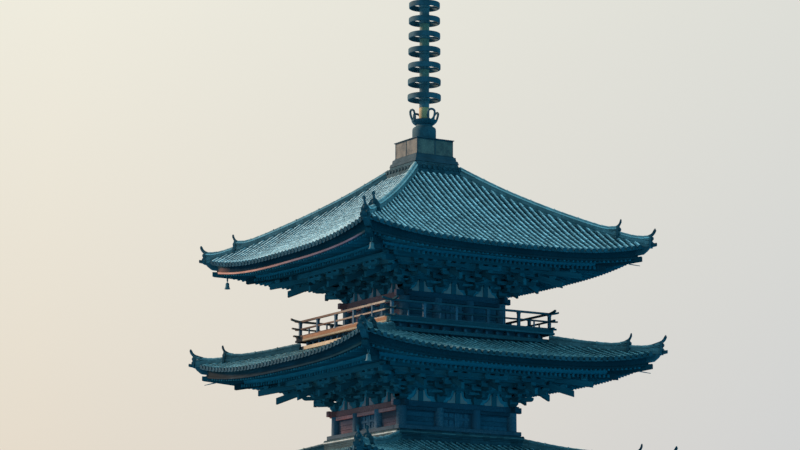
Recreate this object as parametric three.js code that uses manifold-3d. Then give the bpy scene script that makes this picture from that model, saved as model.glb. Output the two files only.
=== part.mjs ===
// A five-storey timber pagoda at full size, in millimetres, +Z up.
// The origin is on the ground on the tower's axis. The front is -Y.
import * as THREE from 'three';
import { mergeVertices } from 'three/addons/utils/BufferGeometryUtils.js';
import Module from 'manifold-3d';

const wasm = await Module();
wasm.setup();

// Driving dimensions of each storey, from the ground up
// columnLine: half the distance between the corner columns' centres
// eaveHalf: half the width across the tile edge in the middle of a side
// tipZ: height of the tile edge at the corner
// headBelowTip: from that height down to the column heads
const STOREYS = [
  { columnLine: 3200, eaveHalf: 7050, tipZ: 7190, headBelowTip: 2300 },
  { columnLine: 2930, eaveHalf: 6800, tipZ: 11690, headBelowTip: 2150 },
  { columnLine: 2650, eaveHalf: 6550, tipZ: 15940, headBelowTip: 2050 },
  { columnLine: 2380, eaveHalf: 6300, tipZ: 20040, headBelowTip: 1950 },
  { columnLine: 2090, eaveHalf: 6050, tipZ: 24050, headBelowTip: 1870 },
];
const TOTAL_HEIGHT = 38800;
const SEAT_GAP = 0.3;
const FLATNESS = 0.02;

// Podium of dressed stone with a flight of steps on each side
const PODIUM = {
  half: 4650,
  height: 1150,
  copingHalf: 4800,
  copingHeight: 200,
  plinthHalf: 4850,
  plinthHeight: 220,
};
const STEPS = { count: 5, width: 2200, tread: 300, cheekWidth: 300 };

// Round columns, tie beams and walls
const COLUMN_RADIUS = 190;
const WALL = { outerInset: 20, thickness: 120 };
const HEAD_BEAM = { height: 210, halfThickness: 80, nose: 400 };
const SILL = { out: 268, height: 150 };
const BASE_BEAM_HEIGHT = 150;
const FLOOR_THICKNESS = 80;
const DOOR = { leaf: 60, inset: 30, clearance: 5, railWidth: 120, railHeight: 100 };
const WALL_ABOVE_ROOF = 1080;

// Three-step brackets, as distances out from the column line and up from the column heads
const BRACKET = {
  width: 200,
  wallOut: 60,
  wallIn: 140,
  wallTopBelowTip: 300,
  purlinInner: 1300,
  purlinOuter: 1500,
  purlinHeight: 200,
  outline: [[-100, 0], [230, 0], [1120, 570], [1630, 330], [1700, 560]],
  cornerTail: [[1300, 720], [2155, 660], [2210, 850], [1400, 1140]],
};
const PURLIN_TOP_BELOW_TIP = [800, 800, 800, 765, 720];

// Eaves: two layers of rafters below the roof boards
const RAFTERS = {
  baseSlope: 0.25,
  flyingSlope: 0.15,
  baseTip: 2630,
  flyingStart: 2660,
  shown: 55,
  boards: 200,
};
const EAVE_BOARD = { inset: 250, bottomBelowTip: 880, lift: 320 };
const HIP_RAFTER = { halfWidth: 125, endInset: 175, endBelowTip: 635, depth: 170 };

// Tiled roofs
const TILE = { edgeBelowTip: 645, thickness: 160, cornerLift: 580 };
const PENT_ROOF = { slopeAtEave: 0.2, slopeGain: 0.234, innerBeyondColumns: 215 };
const TOP_ROOF = { slopeAtEave: 0.5, slopeGain: 0.37, innerHalf: 950, deckThickness: 250 };
const RIDGE = {
  halfWidth: 150,
  sunk: 100,
  startOnFourth: 3410,
  startGain: 45,
  upperHeight: 210,
  upperEnd: 860,
  lowerHeight: 170,
  sweep: 150,
  sweepLength: 200,
  hornOut: 130,
  hornHeight: 170,
};
const FLASHING_OUT = 330;

// Balcony round the top storey
const BALCONY = {
  half: 3550,
  deckTop: 21060,
  fascia: 240,
  fasciaWidth: 120,
  boards: 80,
  skirtHalf: 3140,
  skirtWidth: 100,
};
const RAIL = { half: 3400, bar: 80, post: 90, bays: 5, cornerOut: 300, levels: [21100, 21330, 21560] };

// Spire
const SPIRE = {
  stepHalf: 900,
  stepBottom: 27350,
  boxHalf: 790,
  boxBottom: 27610,
  lidHalf: 835,
  lidBottom: 28220,
  lidTop: 28300,
  ringBottom: 30017,
  ringPitch: 601,
  ringCount: 9,
  ringRadiusLow: 635,
  ringRadiusHigh: 575,
  ringHeight: 200,
  ringWall: 60,
  shaftRadius: 195,
  shaftTop: 35150,
};

// Bells hung under the eave corners that still carry one
const BELL = { inset: 580, pinBelowTip: 820, radius: 105, height: 250, stem: 60, pinRadius: 8, slack: 0.6 };
const BELL_CORNERS = [
  { name: 'bell_top_near', storey: 4, side: 0 },
  { name: 'bell_top_left', storey: 4, side: 1 },
  { name: 'bell_fourth_near', storey: 3, side: 0 },
];

// Where the loops round the tower take their points on each side, from corner to corner
const SIDE_STATIONS = [-1, -0.75, -0.4, 0.4, 0.75];
const QUARTER_TURN = Math.PI / 2;
const TOP = STOREYS.length - 1;

const finish = (color, roughness, metalness = 0) =>
  new THREE.MeshStandardMaterial({ color, roughness, metalness });
const MATERIALS = {
  stone: finish(0x8d8a82, 0.9),
  timber: finish(0x3a2a24, 0.8),
  boards: finish(0x4a3329, 0.8),
  tile: finish(0x5f7076, 0.7),
  bronze: finish(0x3d5a55, 0.5, 0.8),
};

const pagoda = new THREE.Group();

function solidOf(geometry) {
  geometry.deleteAttribute('normal');
  geometry.deleteAttribute('uv');
  const merged = mergeVertices(geometry, 1e-3);
  return new wasm.Manifold(new wasm.Mesh({
    numProp: 3,
    vertProperties: new Float32Array(merged.attributes.position.array),
    triVerts: new Uint32Array(merged.index.array),
  }));
}

// The solid's surface, with its flat faces merged
function geometryOf(solid) {
  const mesh = solid.asOriginal().simplify(FLATNESS).getMesh();
  const geometry = new THREE.BufferGeometry();
  geometry.setAttribute('position', new THREE.BufferAttribute(new Float32Array(mesh.vertProperties), 3));
  geometry.setIndex(new THREE.BufferAttribute(new Uint32Array(mesh.triVerts), 1));
  geometry.computeVertexNormals();
  return geometry;
}

function addPart(name, solid, material) {
  const mesh = new THREE.Mesh(geometryOf(solid), material);
  mesh.name = name;
  pagoda.add(mesh);
}

function join(solids) {
  return solids.reduce((whole, piece) => whole.add(piece));
}

// A box between two heights, given by its lowest and highest x and y
function box(x0, x1, y0, y1, z0, z1) {
  const geometry = new THREE.BoxGeometry(x1 - x0, y1 - y0, z1 - z0);
  geometry.translate((x0 + x1) / 2, (y0 + y1) / 2, (z0 + z1) / 2);
  return solidOf(geometry);
}

function squareBlock(half, z0, z1) {
  return box(-half, half, -half, half, z0, z1);
}

function squareRing(outer, inner, z0, z1) {
  return squareBlock(outer, z0, z1).subtract(squareBlock(inner, z0 - 1, z1 + 1));
}

// The same solid on all four sides of the tower
function onFourSides(solid) {
  return [0, 1, 2, 3].map((side) => turned(solid, side));
}

function turned(solid, side) {
  const geometry = geometryOf(solid);
  geometry.rotateZ(side * QUARTER_TURN);
  return solidOf(geometry);
}

// A plate whose outline is given by distance out from the axis and height, standing across the front side
function plateOut(outline, halfWidth) {
  const shape = new THREE.Shape(outline.map(([out, z]) => new THREE.Vector2(out, z)));
  const geometry = new THREE.ExtrudeGeometry(shape, { depth: 2 * halfWidth, bevelEnabled: false });
  geometry.translate(0, 0, -halfWidth);
  geometry.rotateX(QUARTER_TURN);
  geometry.rotateZ(-QUARTER_TURN);
  return geometry;
}

// The same plate along the diagonal, with its outline's distances measured along x or y
function cornerPlate(outline, halfWidth) {
  const geometry = plateOut(outline.map(([half, z]) => [half * Math.SQRT2, z]), halfWidth);
  geometry.rotateZ(-QUARTER_TURN / 2);
  return solidOf(geometry);
}

function turnedProfile(profile, segments) {
  const geometry = new THREE.LatheGeometry(profile.map(([r, z]) => new THREE.Vector2(r, z)), segments);
  geometry.rotateX(QUARTER_TURN);
  return solidOf(geometry);
}

// A closed square ring whose cross-section runs through the given loops, from the outer bottom edge upwards.
// Each face is split the same way whichever way it is passed, so that a surface fits the one above it.
function loopedRing(loops) {
  const positions = [];
  const faces = [];
  const count = SIDE_STATIONS.length * 4;
  for (const { half, heightAt } of loops) {
    for (let side = 0; side < 4; side += 1) {
      for (const t of SIDE_STATIONS) {
        const point = new THREE.Vector3(half * t, -half, heightAt(t));
        point.applyAxisAngle(new THREE.Vector3(0, 0, 1), side * QUARTER_TURN);
        positions.push(point.x, point.y, point.z);
      }
    }
  }
  for (let i = 0; i < loops.length; i += 1) {
    const next = (i + 1) % loops.length;
    const inwards = loops[i].half >= loops[next].half;
    for (let j = 0; j < count; j += 1) {
      const k = (j + 1) % count;
      const [a, b] = [i * count + j, i * count + k];
      const [c, d] = [next * count + k, next * count + j];
      if (inwards) faces.push(a, b, c, a, c, d);
      else faces.push(a, b, d, b, c, d);
    }
  }
  return new wasm.Manifold(new wasm.Mesh({
    numProp: 3,
    vertProperties: new Float32Array(positions),
    triVerts: new Uint32Array(faces),
  }));
}

const headZ = (n) => STOREYS[n].tipZ - STOREYS[n].headBelowTip;
const bracketTopZ = (n) => STOREYS[n].tipZ - BRACKET.wallTopBelowTip;
const purlinTopZ = (n) => STOREYS[n].tipZ - PURLIN_TOP_BELOW_TIP[n];

// Bottom of the visible wall, where the sill beam lies
function sillZ(n) {
  if (n === 0) return PODIUM.height;
  if (n === TOP) return BALCONY.deckTop - SILL.height;
  return STOREYS[n - 1].tipZ + WALL_ABOVE_ROOF;
}

const sillTopZ = (n) => (n === TOP ? BALCONY.deckTop + SILL.height / 2 : sillZ(n) + SILL.height);
const wallBaseZ = (n) => (n === 0 ? PODIUM.height : bracketTopZ(n - 1));
const wallOuter = (n) => STOREYS[n].columnLine - WALL.outerInset;
const wallInner = (n) => wallOuter(n) - WALL.thickness;

// Inner edge of roof n: against the storey above, under the balcony, or round the spire's base
function roofInner(n) {
  if (n === TOP) return TOP_ROOF.innerHalf;
  if (n === TOP - 1) return BALCONY.skirtHalf + 10;
  return STOREYS[n + 1].columnLine + PENT_ROOF.innerBeyondColumns;
}

// Height of the tiles' top surface at a distance out from the axis, with t from -1 to 1 along the side
function tileTop(n, half, t) {
  const { eaveHalf, tipZ } = STOREYS[n];
  const pitch = n === TOP ? TOP_ROOF : PENT_ROOF;
  const run = n === TOP ? eaveHalf - TOP_ROOF.innerHalf : 3900;
  const q = Math.min(Math.max((eaveHalf - half) / run, 0), 1);
  const rise = run * (pitch.slopeAtEave * q + (pitch.slopeGain * q * q) / 2);
  const lift = TILE.cornerLift * (1 - q) * Math.abs(t) ** 3;
  return tipZ - TILE.edgeBelowTip + TILE.thickness + rise + lift;
}

// Distances out at which roof n's surface bends, from its edge inwards
function roofHalves(n) {
  const { eaveHalf } = STOREYS[n];
  const steps = n === TOP ? 3 : 2;
  return Array.from({ length: steps + 1 }, (_, i) => eaveHalf + ((roofInner(n) - eaveHalf) * i) / steps);
}

// Height along the roof's hip, straight between its bends
function hipTop(n, half) {
  const halves = roofHalves(n);
  const i = Math.min(Math.max(halves.findIndex((bend) => bend < half) - 1, 0), halves.length - 2);
  const share = (halves[i] - half) / (halves[i] - halves[i + 1]);
  return tileTop(n, halves[i], 1) * (1 - share) + tileTop(n, halves[i + 1], 1) * share;
}

// Podium block between its plinth and coping, with the steps and their cheek stones
function makePodium() {
  const { half, height, copingHalf, copingHeight, plinthHalf, plinthHeight } = PODIUM;
  const stepHeight = height / STEPS.count;
  const treads = [];
  for (let i = 0; i < STEPS.count; i += 1) {
    const out = half + STEPS.tread * (STEPS.count - i);
    treads.push(box(-STEPS.width / 2, STEPS.width / 2, -out, -half, 0, stepHeight * (i + 1)));
  }
  const run = STEPS.tread * STEPS.count;
  const cheekX = STEPS.width / 2;
  const cheek = [
    [half, 0],
    [half + run + 100, 0],
    [half + run + 100, 250],
    [half + 150, height],
    [half, height],
  ];
  for (const x of [-cheekX, cheekX]) {
    const plate = plateOut(cheek, STEPS.cheekWidth / 2);
    plate.translate(x, 0, 0);
    treads.push(solidOf(plate));
  }
  return join([
    squareBlock(half, 0, height),
    squareBlock(plinthHalf, 0, plinthHeight),
    squareBlock(copingHalf, height - copingHeight, height),
    ...onFourSides(join(treads)),
  ]);
}

// Columns, sill, and head beams with crossing noses
function makeFrame(n) {
  const { columnLine } = STOREYS[n];
  const base = sillZ(n);
  const head = headZ(n);
  const beamZ = head - HEAD_BEAM.height;
  const pieces = [];
  const bay = (2 * columnLine) / 3;
  for (let i = 0; i < 3; i += 1) {
    const shaft = new THREE.CylinderGeometry(COLUMN_RADIUS, COLUMN_RADIUS, beamZ - base, 8);
    shaft.rotateX(QUARTER_TURN);
    shaft.rotateZ(Math.PI / 8);
    shaft.translate(-columnLine + i * bay, -columnLine, (beamZ + base) / 2);
    pieces.push(...onFourSides(solidOf(shaft)));
  }
  const tip = columnLine + HEAD_BEAM.nose;
  const { halfThickness } = HEAD_BEAM;
  const beam = box(-tip, tip, -columnLine - halfThickness, -columnLine + halfThickness, beamZ, head);
  pieces.push(...onFourSides(beam));
  pieces.push(squareBlock(columnLine + SILL.out, base, sillTopZ(n)));
  return join(pieces).subtract(squareBlock(wallOuter(n), base - 10, head + 10));
}

const doorHalf = (n) => STOREYS[n].columnLine / 3 - COLUMN_RADIUS;
const doorHeadZ = (n) => headZ(n) - HEAD_BEAM.height;

// Walls with a doorway on each side, on the base beams that carry them inside the roof below
function makeWalls(n) {
  const outer = wallOuter(n);
  const inner = wallInner(n);
  const ring = squareRing(outer, inner, wallBaseZ(n), headZ(n));
  const hole = box(-doorHalf(n), doorHalf(n), -outer - 10, -inner + 10, sillTopZ(n), doorHeadZ(n));
  const walls = onFourSides(hole).reduce((whole, opening) => whole.subtract(opening), ring);
  if (n === 0) return walls;
  const below = STOREYS[n - 1].columnLine + BRACKET.wallOut;
  return walls.add(squareRing(below, inner, wallBaseZ(n), wallBaseZ(n) + BASE_BEAM_HEIGHT));
}

// Double doors on each side, on a threshold rail that runs round behind the walls
function makeDoors(n) {
  const face = wallOuter(n) - DOOR.inset;
  const inner = wallInner(n);
  const half = doorHalf(n) - DOOR.clearance;
  const z0 = sillTopZ(n);
  const leaf = box(-half, half, -face, -inner + DOOR.leaf, z0 + SEAT_GAP, doorHeadZ(n) - DOOR.clearance);
  const rail = squareRing(inner, inner - DOOR.railWidth, z0 - DOOR.railHeight, z0 + 50);
  return join([rail, ...onFourSides(leaf)]);
}

function makeFloor(n) {
  const top = sillTopZ(n) - DOOR.railHeight;
  return squareBlock(wallInner(n), top - FLOOR_THICKNESS, top);
}

// Bracket plates at every column, corner tails, the wall beams behind them and the purlin on top
function makeBrackets(n) {
  const { columnLine } = STOREYS[n];
  const head = headZ(n);
  const top = purlinTopZ(n);
  const stretch = (top - head) / 1150;
  const raise = (outline) => outline.map(([out, z]) => [columnLine + out, head + z * stretch]);
  const seat = top - BRACKET.purlinHeight;
  const outline = [...raise(BRACKET.outline), [columnLine + 1480, seat + 1], [columnLine - 100, seat + 1]];
  const pieces = [squareRing(columnLine + BRACKET.wallOut, columnLine - BRACKET.wallIn, head, bracketTopZ(n))];
  pieces.push(squareRing(columnLine + BRACKET.purlinOuter, columnLine + BRACKET.purlinInner, seat, top));
  for (const place of [-1, -1 / 3, 1 / 3, 1]) {
    const plate = plateOut(outline, BRACKET.width / 2);
    plate.translate(place * columnLine, 0, 0);
    pieces.push(...onFourSides(solidOf(plate)));
  }
  pieces.push(...onFourSides(cornerPlate(outline, BRACKET.width / 2)));
  pieces.push(...onFourSides(cornerPlate(raise(BRACKET.cornerTail), BRACKET.width / 2)));
  return join(pieces);
}

// Top of the level ledge inside the fourth roof, where the balcony's skirt stands
const ledgeZ = (n) => tileTop(n, roofInner(n), 0) - TILE.thickness - RAFTERS.boards;

// Rafters, eave boards and roof boards as one deck, with a hip rafter at each corner
function makeEaves(n) {
  const { columnLine, eaveHalf, tipZ } = STOREYS[n];
  const wall = columnLine + BRACKET.wallOut + SEAT_GAP;
  const purlin = columnLine + BRACKET.purlinOuter;
  const purlinZ = purlinTopZ(n) + SEAT_GAP;
  const edge = eaveHalf - EAVE_BOARD.inset;
  const boardZ = tipZ - EAVE_BOARD.bottomBelowTip;
  const rafterLift = (half, t) =>
    EAVE_BOARD.lift * Math.max(0, (half - purlin) / (edge - purlin)) ** 1.5 * Math.abs(t) ** 3;
  const baseTip = columnLine + RAFTERS.baseTip;
  const flyingStart = columnLine + RAFTERS.flyingStart;
  const baseTipZ = purlinZ - RAFTERS.baseSlope * (baseTip - purlin);
  const tipBottom = boardZ - RAFTERS.shown;
  const flyingZ = tipBottom + RAFTERS.flyingSlope * (edge - 60 - flyingStart);
  const under = (half, drop = 0) => (t) => tileTop(n, half, t) - TILE.thickness - SEAT_GAP - drop;
  const at = (half, z) => ({ half, heightAt: (t) => z + rafterLift(half, t) });
  const level = (half, z) => ({ half, heightAt: () => z });
  const inner = roofInner(n);
  const loops = [
    at(edge - 60, tipBottom),
    at(edge, boardZ),
    ...roofHalves(n).map((half) => ({ half, heightAt: under(half) })),
  ];
  if (n === TOP) {
    for (const half of [inner, (inner + wall) / 2, wall]) {
      loops.push({ half, heightAt: under(half, TOP_ROOF.deckThickness) });
    }
  } else if (n === TOP - 1) {
    loops.push(level(inner - 1, ledgeZ(n)), level(wall, ledgeZ(n)));
  } else {
    loops.push({ half: inner, heightAt: under(inner, RAFTERS.boards) });
    loops.push(level(wall, bracketTopZ(n) + BASE_BEAM_HEIGHT + 50));
  }
  loops.push(at(wall, purlinZ + RAFTERS.baseSlope * (purlin - wall)));
  loops.push(at(purlin, purlinZ));
  loops.push(at(baseTip, baseTipZ));
  loops.push(at(flyingStart, flyingZ));
  const hipEnd = eaveHalf - HIP_RAFTER.endInset;
  const hip = cornerPlate([
    [purlin - 400, purlinZ],
    [purlin, purlinZ],
    [baseTip, baseTipZ + 40],
    [baseTip + 60, baseTipZ + 130],
    [hipEnd, tipZ - HIP_RAFTER.endBelowTip],
    [hipEnd, tipZ - HIP_RAFTER.endBelowTip + HIP_RAFTER.depth],
    [purlin - 400, purlinZ + 300],
  ], HIP_RAFTER.halfWidth);
  return join([loopedRing(loops), ...onFourSides(hip), ...bellHooks(n)]);
}

// Tile shell with its four hip ridges and the ridge course against the wall or the spire's base
function makeRoof(n) {
  const inner = roofInner(n);
  const halves = roofHalves(n);
  const top = halves.map((half) => ({ half, heightAt: (t) => tileTop(n, half, t) }));
  const bottom = halves.map((half) => ({ half, heightAt: (t) => tileTop(n, half, t) - TILE.thickness }));
  const shell = loopedRing([bottom[0], ...top, ...bottom.slice(1).reverse()]);
  const pieces = [shell, ...onFourSides(makeHipRidge(n))];
  if (n === TOP) {
    const low = tileTop(n, inner, 0) - TILE.thickness / 2;
    pieces.push(squareRing(inner + 70, SPIRE.boxHalf, low, SPIRE.stepBottom));
  } else if (n < TOP - 1) {
    const outer = STOREYS[n + 1].columnLine + FLASHING_OUT;
    pieces.push(squareRing(outer, inner, tileTop(n, outer, 0) - TILE.thickness / 2, sillZ(n + 1)));
  }
  return join(pieces);
}

// Two-step hip ridge with upturned horns, as a plate along the diagonal
function makeHipRidge(n) {
  const { eaveHalf, tipZ } = STOREYS[n];
  const { startGain, upperHeight, lowerHeight, sweep, sweepLength, hornOut, hornHeight, sunk } = RIDGE;
  const surface = (half, up) => [half, hipTop(n, half) + up];
  const start = n === TOP - 1 ? RIDGE.startOnFourth : roofInner(n) + 60;
  const upperEnd = eaveHalf - RIDGE.upperEnd;
  const lowerEnd = eaveHalf - 30;
  const sweepStart = upperEnd - 2 * sweepLength;
  const bends = roofHalves(n).filter((half) => half > start && half < lowerEnd);
  const outline = [
    surface(start, -sunk),
    ...bends.map((half) => surface(half, -sunk)).reverse(),
    surface(lowerEnd, -sunk),
    [eaveHalf + 230, tipZ - 60],
    [eaveHalf + 230, tipZ + 40],
    surface(lowerEnd, lowerHeight + sweep),
    surface(lowerEnd + hornOut, lowerHeight + sweep + hornHeight),
    surface(lowerEnd - sweepLength, lowerHeight + sweep / 2),
    surface(upperEnd, lowerHeight),
    surface(upperEnd, upperHeight + sweep),
    surface(upperEnd + hornOut, upperHeight + sweep + hornHeight),
    surface(upperEnd - sweepLength, upperHeight + sweep / 2),
    surface(sweepStart, upperHeight),
    ...bends.filter((half) => half < sweepStart).map((half) => surface(half, upperHeight)),
    surface(start, upperHeight + startGain),
  ];
  return cornerPlate(outline, RIDGE.halfWidth);
}

// Deck on its skirt, with the fascia that hides the deck beams
function makeBalconyDeck() {
  const { half, deckTop, fascia, fasciaWidth, boards, skirtHalf, skirtWidth } = BALCONY;
  const inner = STOREYS[TOP].columnLine + SILL.out + SEAT_GAP;
  return join([
    squareRing(half, half - fasciaWidth, deckTop - fascia, deckTop),
    squareRing(half - fasciaWidth / 2, inner, deckTop - boards, deckTop),
    squareRing(skirtHalf, skirtHalf - skirtWidth, ledgeZ(TOP - 1), deckTop - boards / 2),
  ]);
}

// Three rails whose ends cross at the corners, on posts
function makeRailing() {
  const { half, bar, post, bays, cornerOut, levels } = RAIL;
  const pieces = [];
  const reach = half + cornerOut;
  for (const z of levels) {
    pieces.push(...onFourSides(box(-reach, reach, -half - bar / 2, -half + bar / 2, z - bar / 2, z + bar / 2)));
  }
  for (let i = 0; i < bays; i += 1) {
    const x = -half + (2 * half * i) / bays;
    const width = i === 0 ? bar : post;
    const upright = box(x - width / 2, x + width / 2, -half - bar / 2, -half + bar / 2, levels[0], levels[2]);
    pieces.push(...onFourSides(upright));
  }
  return join(pieces);
}

function makeDewBasin() {
  return join([
    squareBlock(SPIRE.stepHalf, SPIRE.stepBottom, SPIRE.boxBottom),
    squareBlock(SPIRE.boxHalf, SPIRE.boxBottom, SPIRE.lidBottom),
    squareBlock(SPIRE.lidHalf, SPIRE.lidBottom, SPIRE.lidTop),
  ]);
}

function makeBowl() {
  const z = SPIRE.lidTop;
  return turnedProfile([[0, z], [480, z], [480, z + 160], [465, z + 280], [400, z + 440], [300, z + 560],
    [200, z + 640], [190, z + 700], [0, z + 700]], 12);
}

function makeLotus() {
  const z = SPIRE.lidTop + 700;
  return turnedProfile([[0, z], [190, z], [230, z + 60], [440, z + 150], [500, z + 330], [590, z + 590],
    [520, z + 610], [430, z + 400], [330, z + 330], [0, z + 330]], 12);
}

// Mast with nine open rings on crossed spokes
function makeRingedShaft() {
  const { ringBottom, ringPitch, ringCount, ringHeight, ringWall, shaftRadius, shaftTop } = SPIRE;
  const bottom = SPIRE.lidTop + 700 + 330;
  const shaft = [[0, bottom], [shaftRadius, bottom], [shaftRadius, shaftTop], [0, shaftTop]];
  const pieces = [turnedProfile(shaft, 8)];
  for (let i = 0; i < ringCount; i += 1) {
    const z = ringBottom + i * ringPitch;
    const share = i / (ringCount - 1);
    const radius = SPIRE.ringRadiusLow + share * (SPIRE.ringRadiusHigh - SPIRE.ringRadiusLow);
    const [low, high] = [z - ringHeight / 2, z + ringHeight / 2];
    const inner = radius - ringWall;
    pieces.push(turnedProfile([[inner, low], [radius, low], [radius, high], [inner, high], [inner, low]], 12));
    const spoke = box(-inner - 20, inner + 20, -30, 30, z - 35, z + 35);
    pieces.push(spoke, turned(spoke, 1));
  }
  return join(pieces);
}

// Four flame plates round the mast
function makeWaterFlame() {
  const z = SPIRE.shaftTop;
  const outline = [[0, z], [260, z + 60], [520, z + 420], [600, z + 900], [430, z + 1250], [470, z + 1500],
    [250, z + 1750], [160, z + 2150], [0, z + 2150]];
  const plate = solidOf(plateOut(outline, 25));
  const core = turnedProfile([[0, z], [110, z], [90, z + 2200], [0, z + 2200]], 10);
  return join([core, ...onFourSides(plate)]);
}

function makeWheelAndJewel() {
  const z = SPIRE.shaftTop + 2200;
  return turnedProfile([[0, z], [100, z], [270, z + 120], [310, z + 260], [270, z + 400], [100, z + 520],
    [90, z + 680], [230, z + 780], [270, z + 920], [230, z + 1080], [110, z + 1240], [0, TOTAL_HEIGHT]], 12);
}

// Where a corner's bell hangs: its pin's distance out and height
function bellPin(n) {
  const { eaveHalf, tipZ } = STOREYS[n];
  return { half: eaveHalf - BELL.inset, z: tipZ - BELL.pinBelowTip };
}

function atCorner(geometry, n, side) {
  const { half, z } = bellPin(n);
  geometry.rotateZ(-QUARTER_TURN / 2);
  geometry.translate(-half, -half, z);
  geometry.rotateZ(-side * QUARTER_TURN);
  return solidOf(geometry);
}

// Pin between two cheeks under the hip rafter, for each bell that is there
function bellHooks(n) {
  const hooks = [];
  for (const { storey, side } of BELL_CORNERS.filter((corner) => corner.storey === n)) {
    const pin = new THREE.CylinderGeometry(BELL.pinRadius, BELL.pinRadius, 80, 12);
    pin.rotateZ(QUARTER_TURN);
    hooks.push(atCorner(pin, storey, side));
    for (const x of [-32, 32]) {
      const cheek = new THREE.BoxGeometry(16, 40, 190);
      cheek.translate(x, 0, 75);
      hooks.push(atCorner(cheek, storey, side));
    }
  }
  return hooks;
}

// Bell hollow from below, its stem and the eye that turns on the pin
function makeBell(n, side) {
  const { radius, height, stem, pinRadius } = BELL;
  const rim = -stem - height;
  const cup = turnedProfile([[0, -stem - 30], [46, -stem - 36], [60, -stem - 120], [radius - 14, rim],
    [radius, rim], [75, -stem - 120], [60, -stem - 20], [0, -stem]], 8);
  const rod = box(-10, 10, -10, 10, -stem - 10, -pinRadius - 4);
  const eye = new THREE.CylinderGeometry(24, 24, 20, 12);
  eye.rotateZ(QUARTER_TURN);
  const bore = new THREE.CylinderGeometry(pinRadius + BELL.slack, pinRadius + BELL.slack, 30, 12);
  bore.rotateZ(QUARTER_TURN);
  const bell = join([cup, rod, solidOf(eye)]).subtract(solidOf(bore));
  return atCorner(geometryOf(bell), n, side);
}

addPart('stone_podium', makePodium(), MATERIALS.stone);
STOREYS.forEach((storey, n) => {
  const level = n + 1;
  addPart(`storey_${level}_frame`, makeFrame(n), MATERIALS.timber);
  addPart(`storey_${level}_walls`, makeWalls(n), MATERIALS.boards);
  addPart(`storey_${level}_doors`, makeDoors(n), MATERIALS.boards);
  if (n > 0) addPart(`storey_${level}_floor`, makeFloor(n), MATERIALS.boards);
  addPart(`storey_${level}_brackets`, makeBrackets(n), MATERIALS.timber);
  addPart(`storey_${level}_eaves`, makeEaves(n), MATERIALS.timber);
  addPart(`storey_${level}_roof`, makeRoof(n), MATERIALS.tile);
});
addPart('balcony_deck', makeBalconyDeck(), MATERIALS.timber);
addPart('balcony_railing', makeRailing(), MATERIALS.timber);
addPart('spire_dew_basin', makeDewBasin(), MATERIALS.bronze);
addPart('spire_bowl', makeBowl(), MATERIALS.bronze);
addPart('spire_lotus', makeLotus(), MATERIALS.bronze);
addPart('spire_ringed_shaft', makeRingedShaft(), MATERIALS.bronze);
addPart('spire_water_flame', makeWaterFlame(), MATERIALS.bronze);
addPart('spire_wheel_and_jewel', makeWheelAndJewel(), MATERIALS.bronze);
for (const { name, storey, side } of BELL_CORNERS) addPart(name, makeBell(storey, side), MATERIALS.bronze);

export default pagoda;
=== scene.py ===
"""Looks of a five-storey timber pagoda: tiles, rafters, brackets, boards, stone and bronze.

Lengths are in metres, with the ground at height 0 and the tower's axis at x = y = 0. The front is -Y.
Storeys are counted 0 to 4 from the ground up.
"""
import math

import bmesh
import bpy
import numpy as np
from mathutils import Matrix, Vector


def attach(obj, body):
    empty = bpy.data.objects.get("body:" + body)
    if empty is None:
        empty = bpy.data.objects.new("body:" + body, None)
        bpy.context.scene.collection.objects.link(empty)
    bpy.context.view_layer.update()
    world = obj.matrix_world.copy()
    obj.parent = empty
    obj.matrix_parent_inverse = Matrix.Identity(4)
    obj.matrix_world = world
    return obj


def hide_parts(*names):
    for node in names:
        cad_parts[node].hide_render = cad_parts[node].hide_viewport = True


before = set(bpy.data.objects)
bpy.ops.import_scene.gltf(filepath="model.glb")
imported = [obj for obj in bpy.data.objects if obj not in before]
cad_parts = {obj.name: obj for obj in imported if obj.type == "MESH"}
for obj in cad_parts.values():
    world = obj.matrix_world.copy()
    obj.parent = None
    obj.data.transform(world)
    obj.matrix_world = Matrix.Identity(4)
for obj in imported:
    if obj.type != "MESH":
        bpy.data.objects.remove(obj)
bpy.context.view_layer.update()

# Sizes of each storey
TOP = 4
COLUMN_LINE = (3.20, 2.93, 2.65, 2.38, 2.09)
EAVE_HALF = (7.05, 6.80, 6.55, 6.30, 6.05)
TIP_Z = (7.19, 11.69, 15.94, 20.04, 24.05)
HEAD_Z = (4.89, 9.54, 13.89, 18.09, 22.18)
PURLIN_TOP_Z = (6.39, 10.89, 15.14, 19.275, 23.33)
SILL_Z = (1.15, 8.27, 12.77, 17.02, 20.91)
SILL_TOP_Z = (1.30, 8.42, 12.92, 17.17, 21.135)
ROOF_INNER = (3.145, 2.865, 2.595, 3.15, 0.95)
TILE_ROWS = (55, 53, 51, 49, 47)

TILE_DEPTH = 0.16
TILE_DROP = 0.645
CORNER_LIFT = 0.52
COVER_RADIUS = 0.080
PAN_HALF = 0.11
PAN_SAG = 0.030
TILE_LENGTH = 0.285
RAFTER_PITCH = 0.195
RAFTER_DEPTH = 0.11
FLYING_SHOWN = 0.068
BOARD_DROP = 0.88
BOARD_THICKNESS = 0.068
BOARD_WIDTH = 0.14
BOARD_LIFT = 0.36
EDGE_INSET = 0.25
WALL_OUT = 0.06
PURLIN_OUT = 1.50
BASE_TIP_OUT = 2.63
FLYING_OUT = 2.66
COLUMN_RADIUS = 0.19
HEAD_BEAM = 0.21
SKIRT_HALF = 3.14

BALCONY_HALF = 3.55
DECK_TOP = 20.99
RAIL_HALF = 3.40

UPPER_RIDGE_END = 0.81
BOWL_FOOT = 28.30
SHAFT_TOP = 35.15
RINGS = 9
FIRST_RING_Z = 30.017
RING_PITCH = 0.601
FLAME_TALL = 2.2
WORN_SLEEVES = (1, 3, 4)
TOTAL_HEIGHT = 38.80

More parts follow.
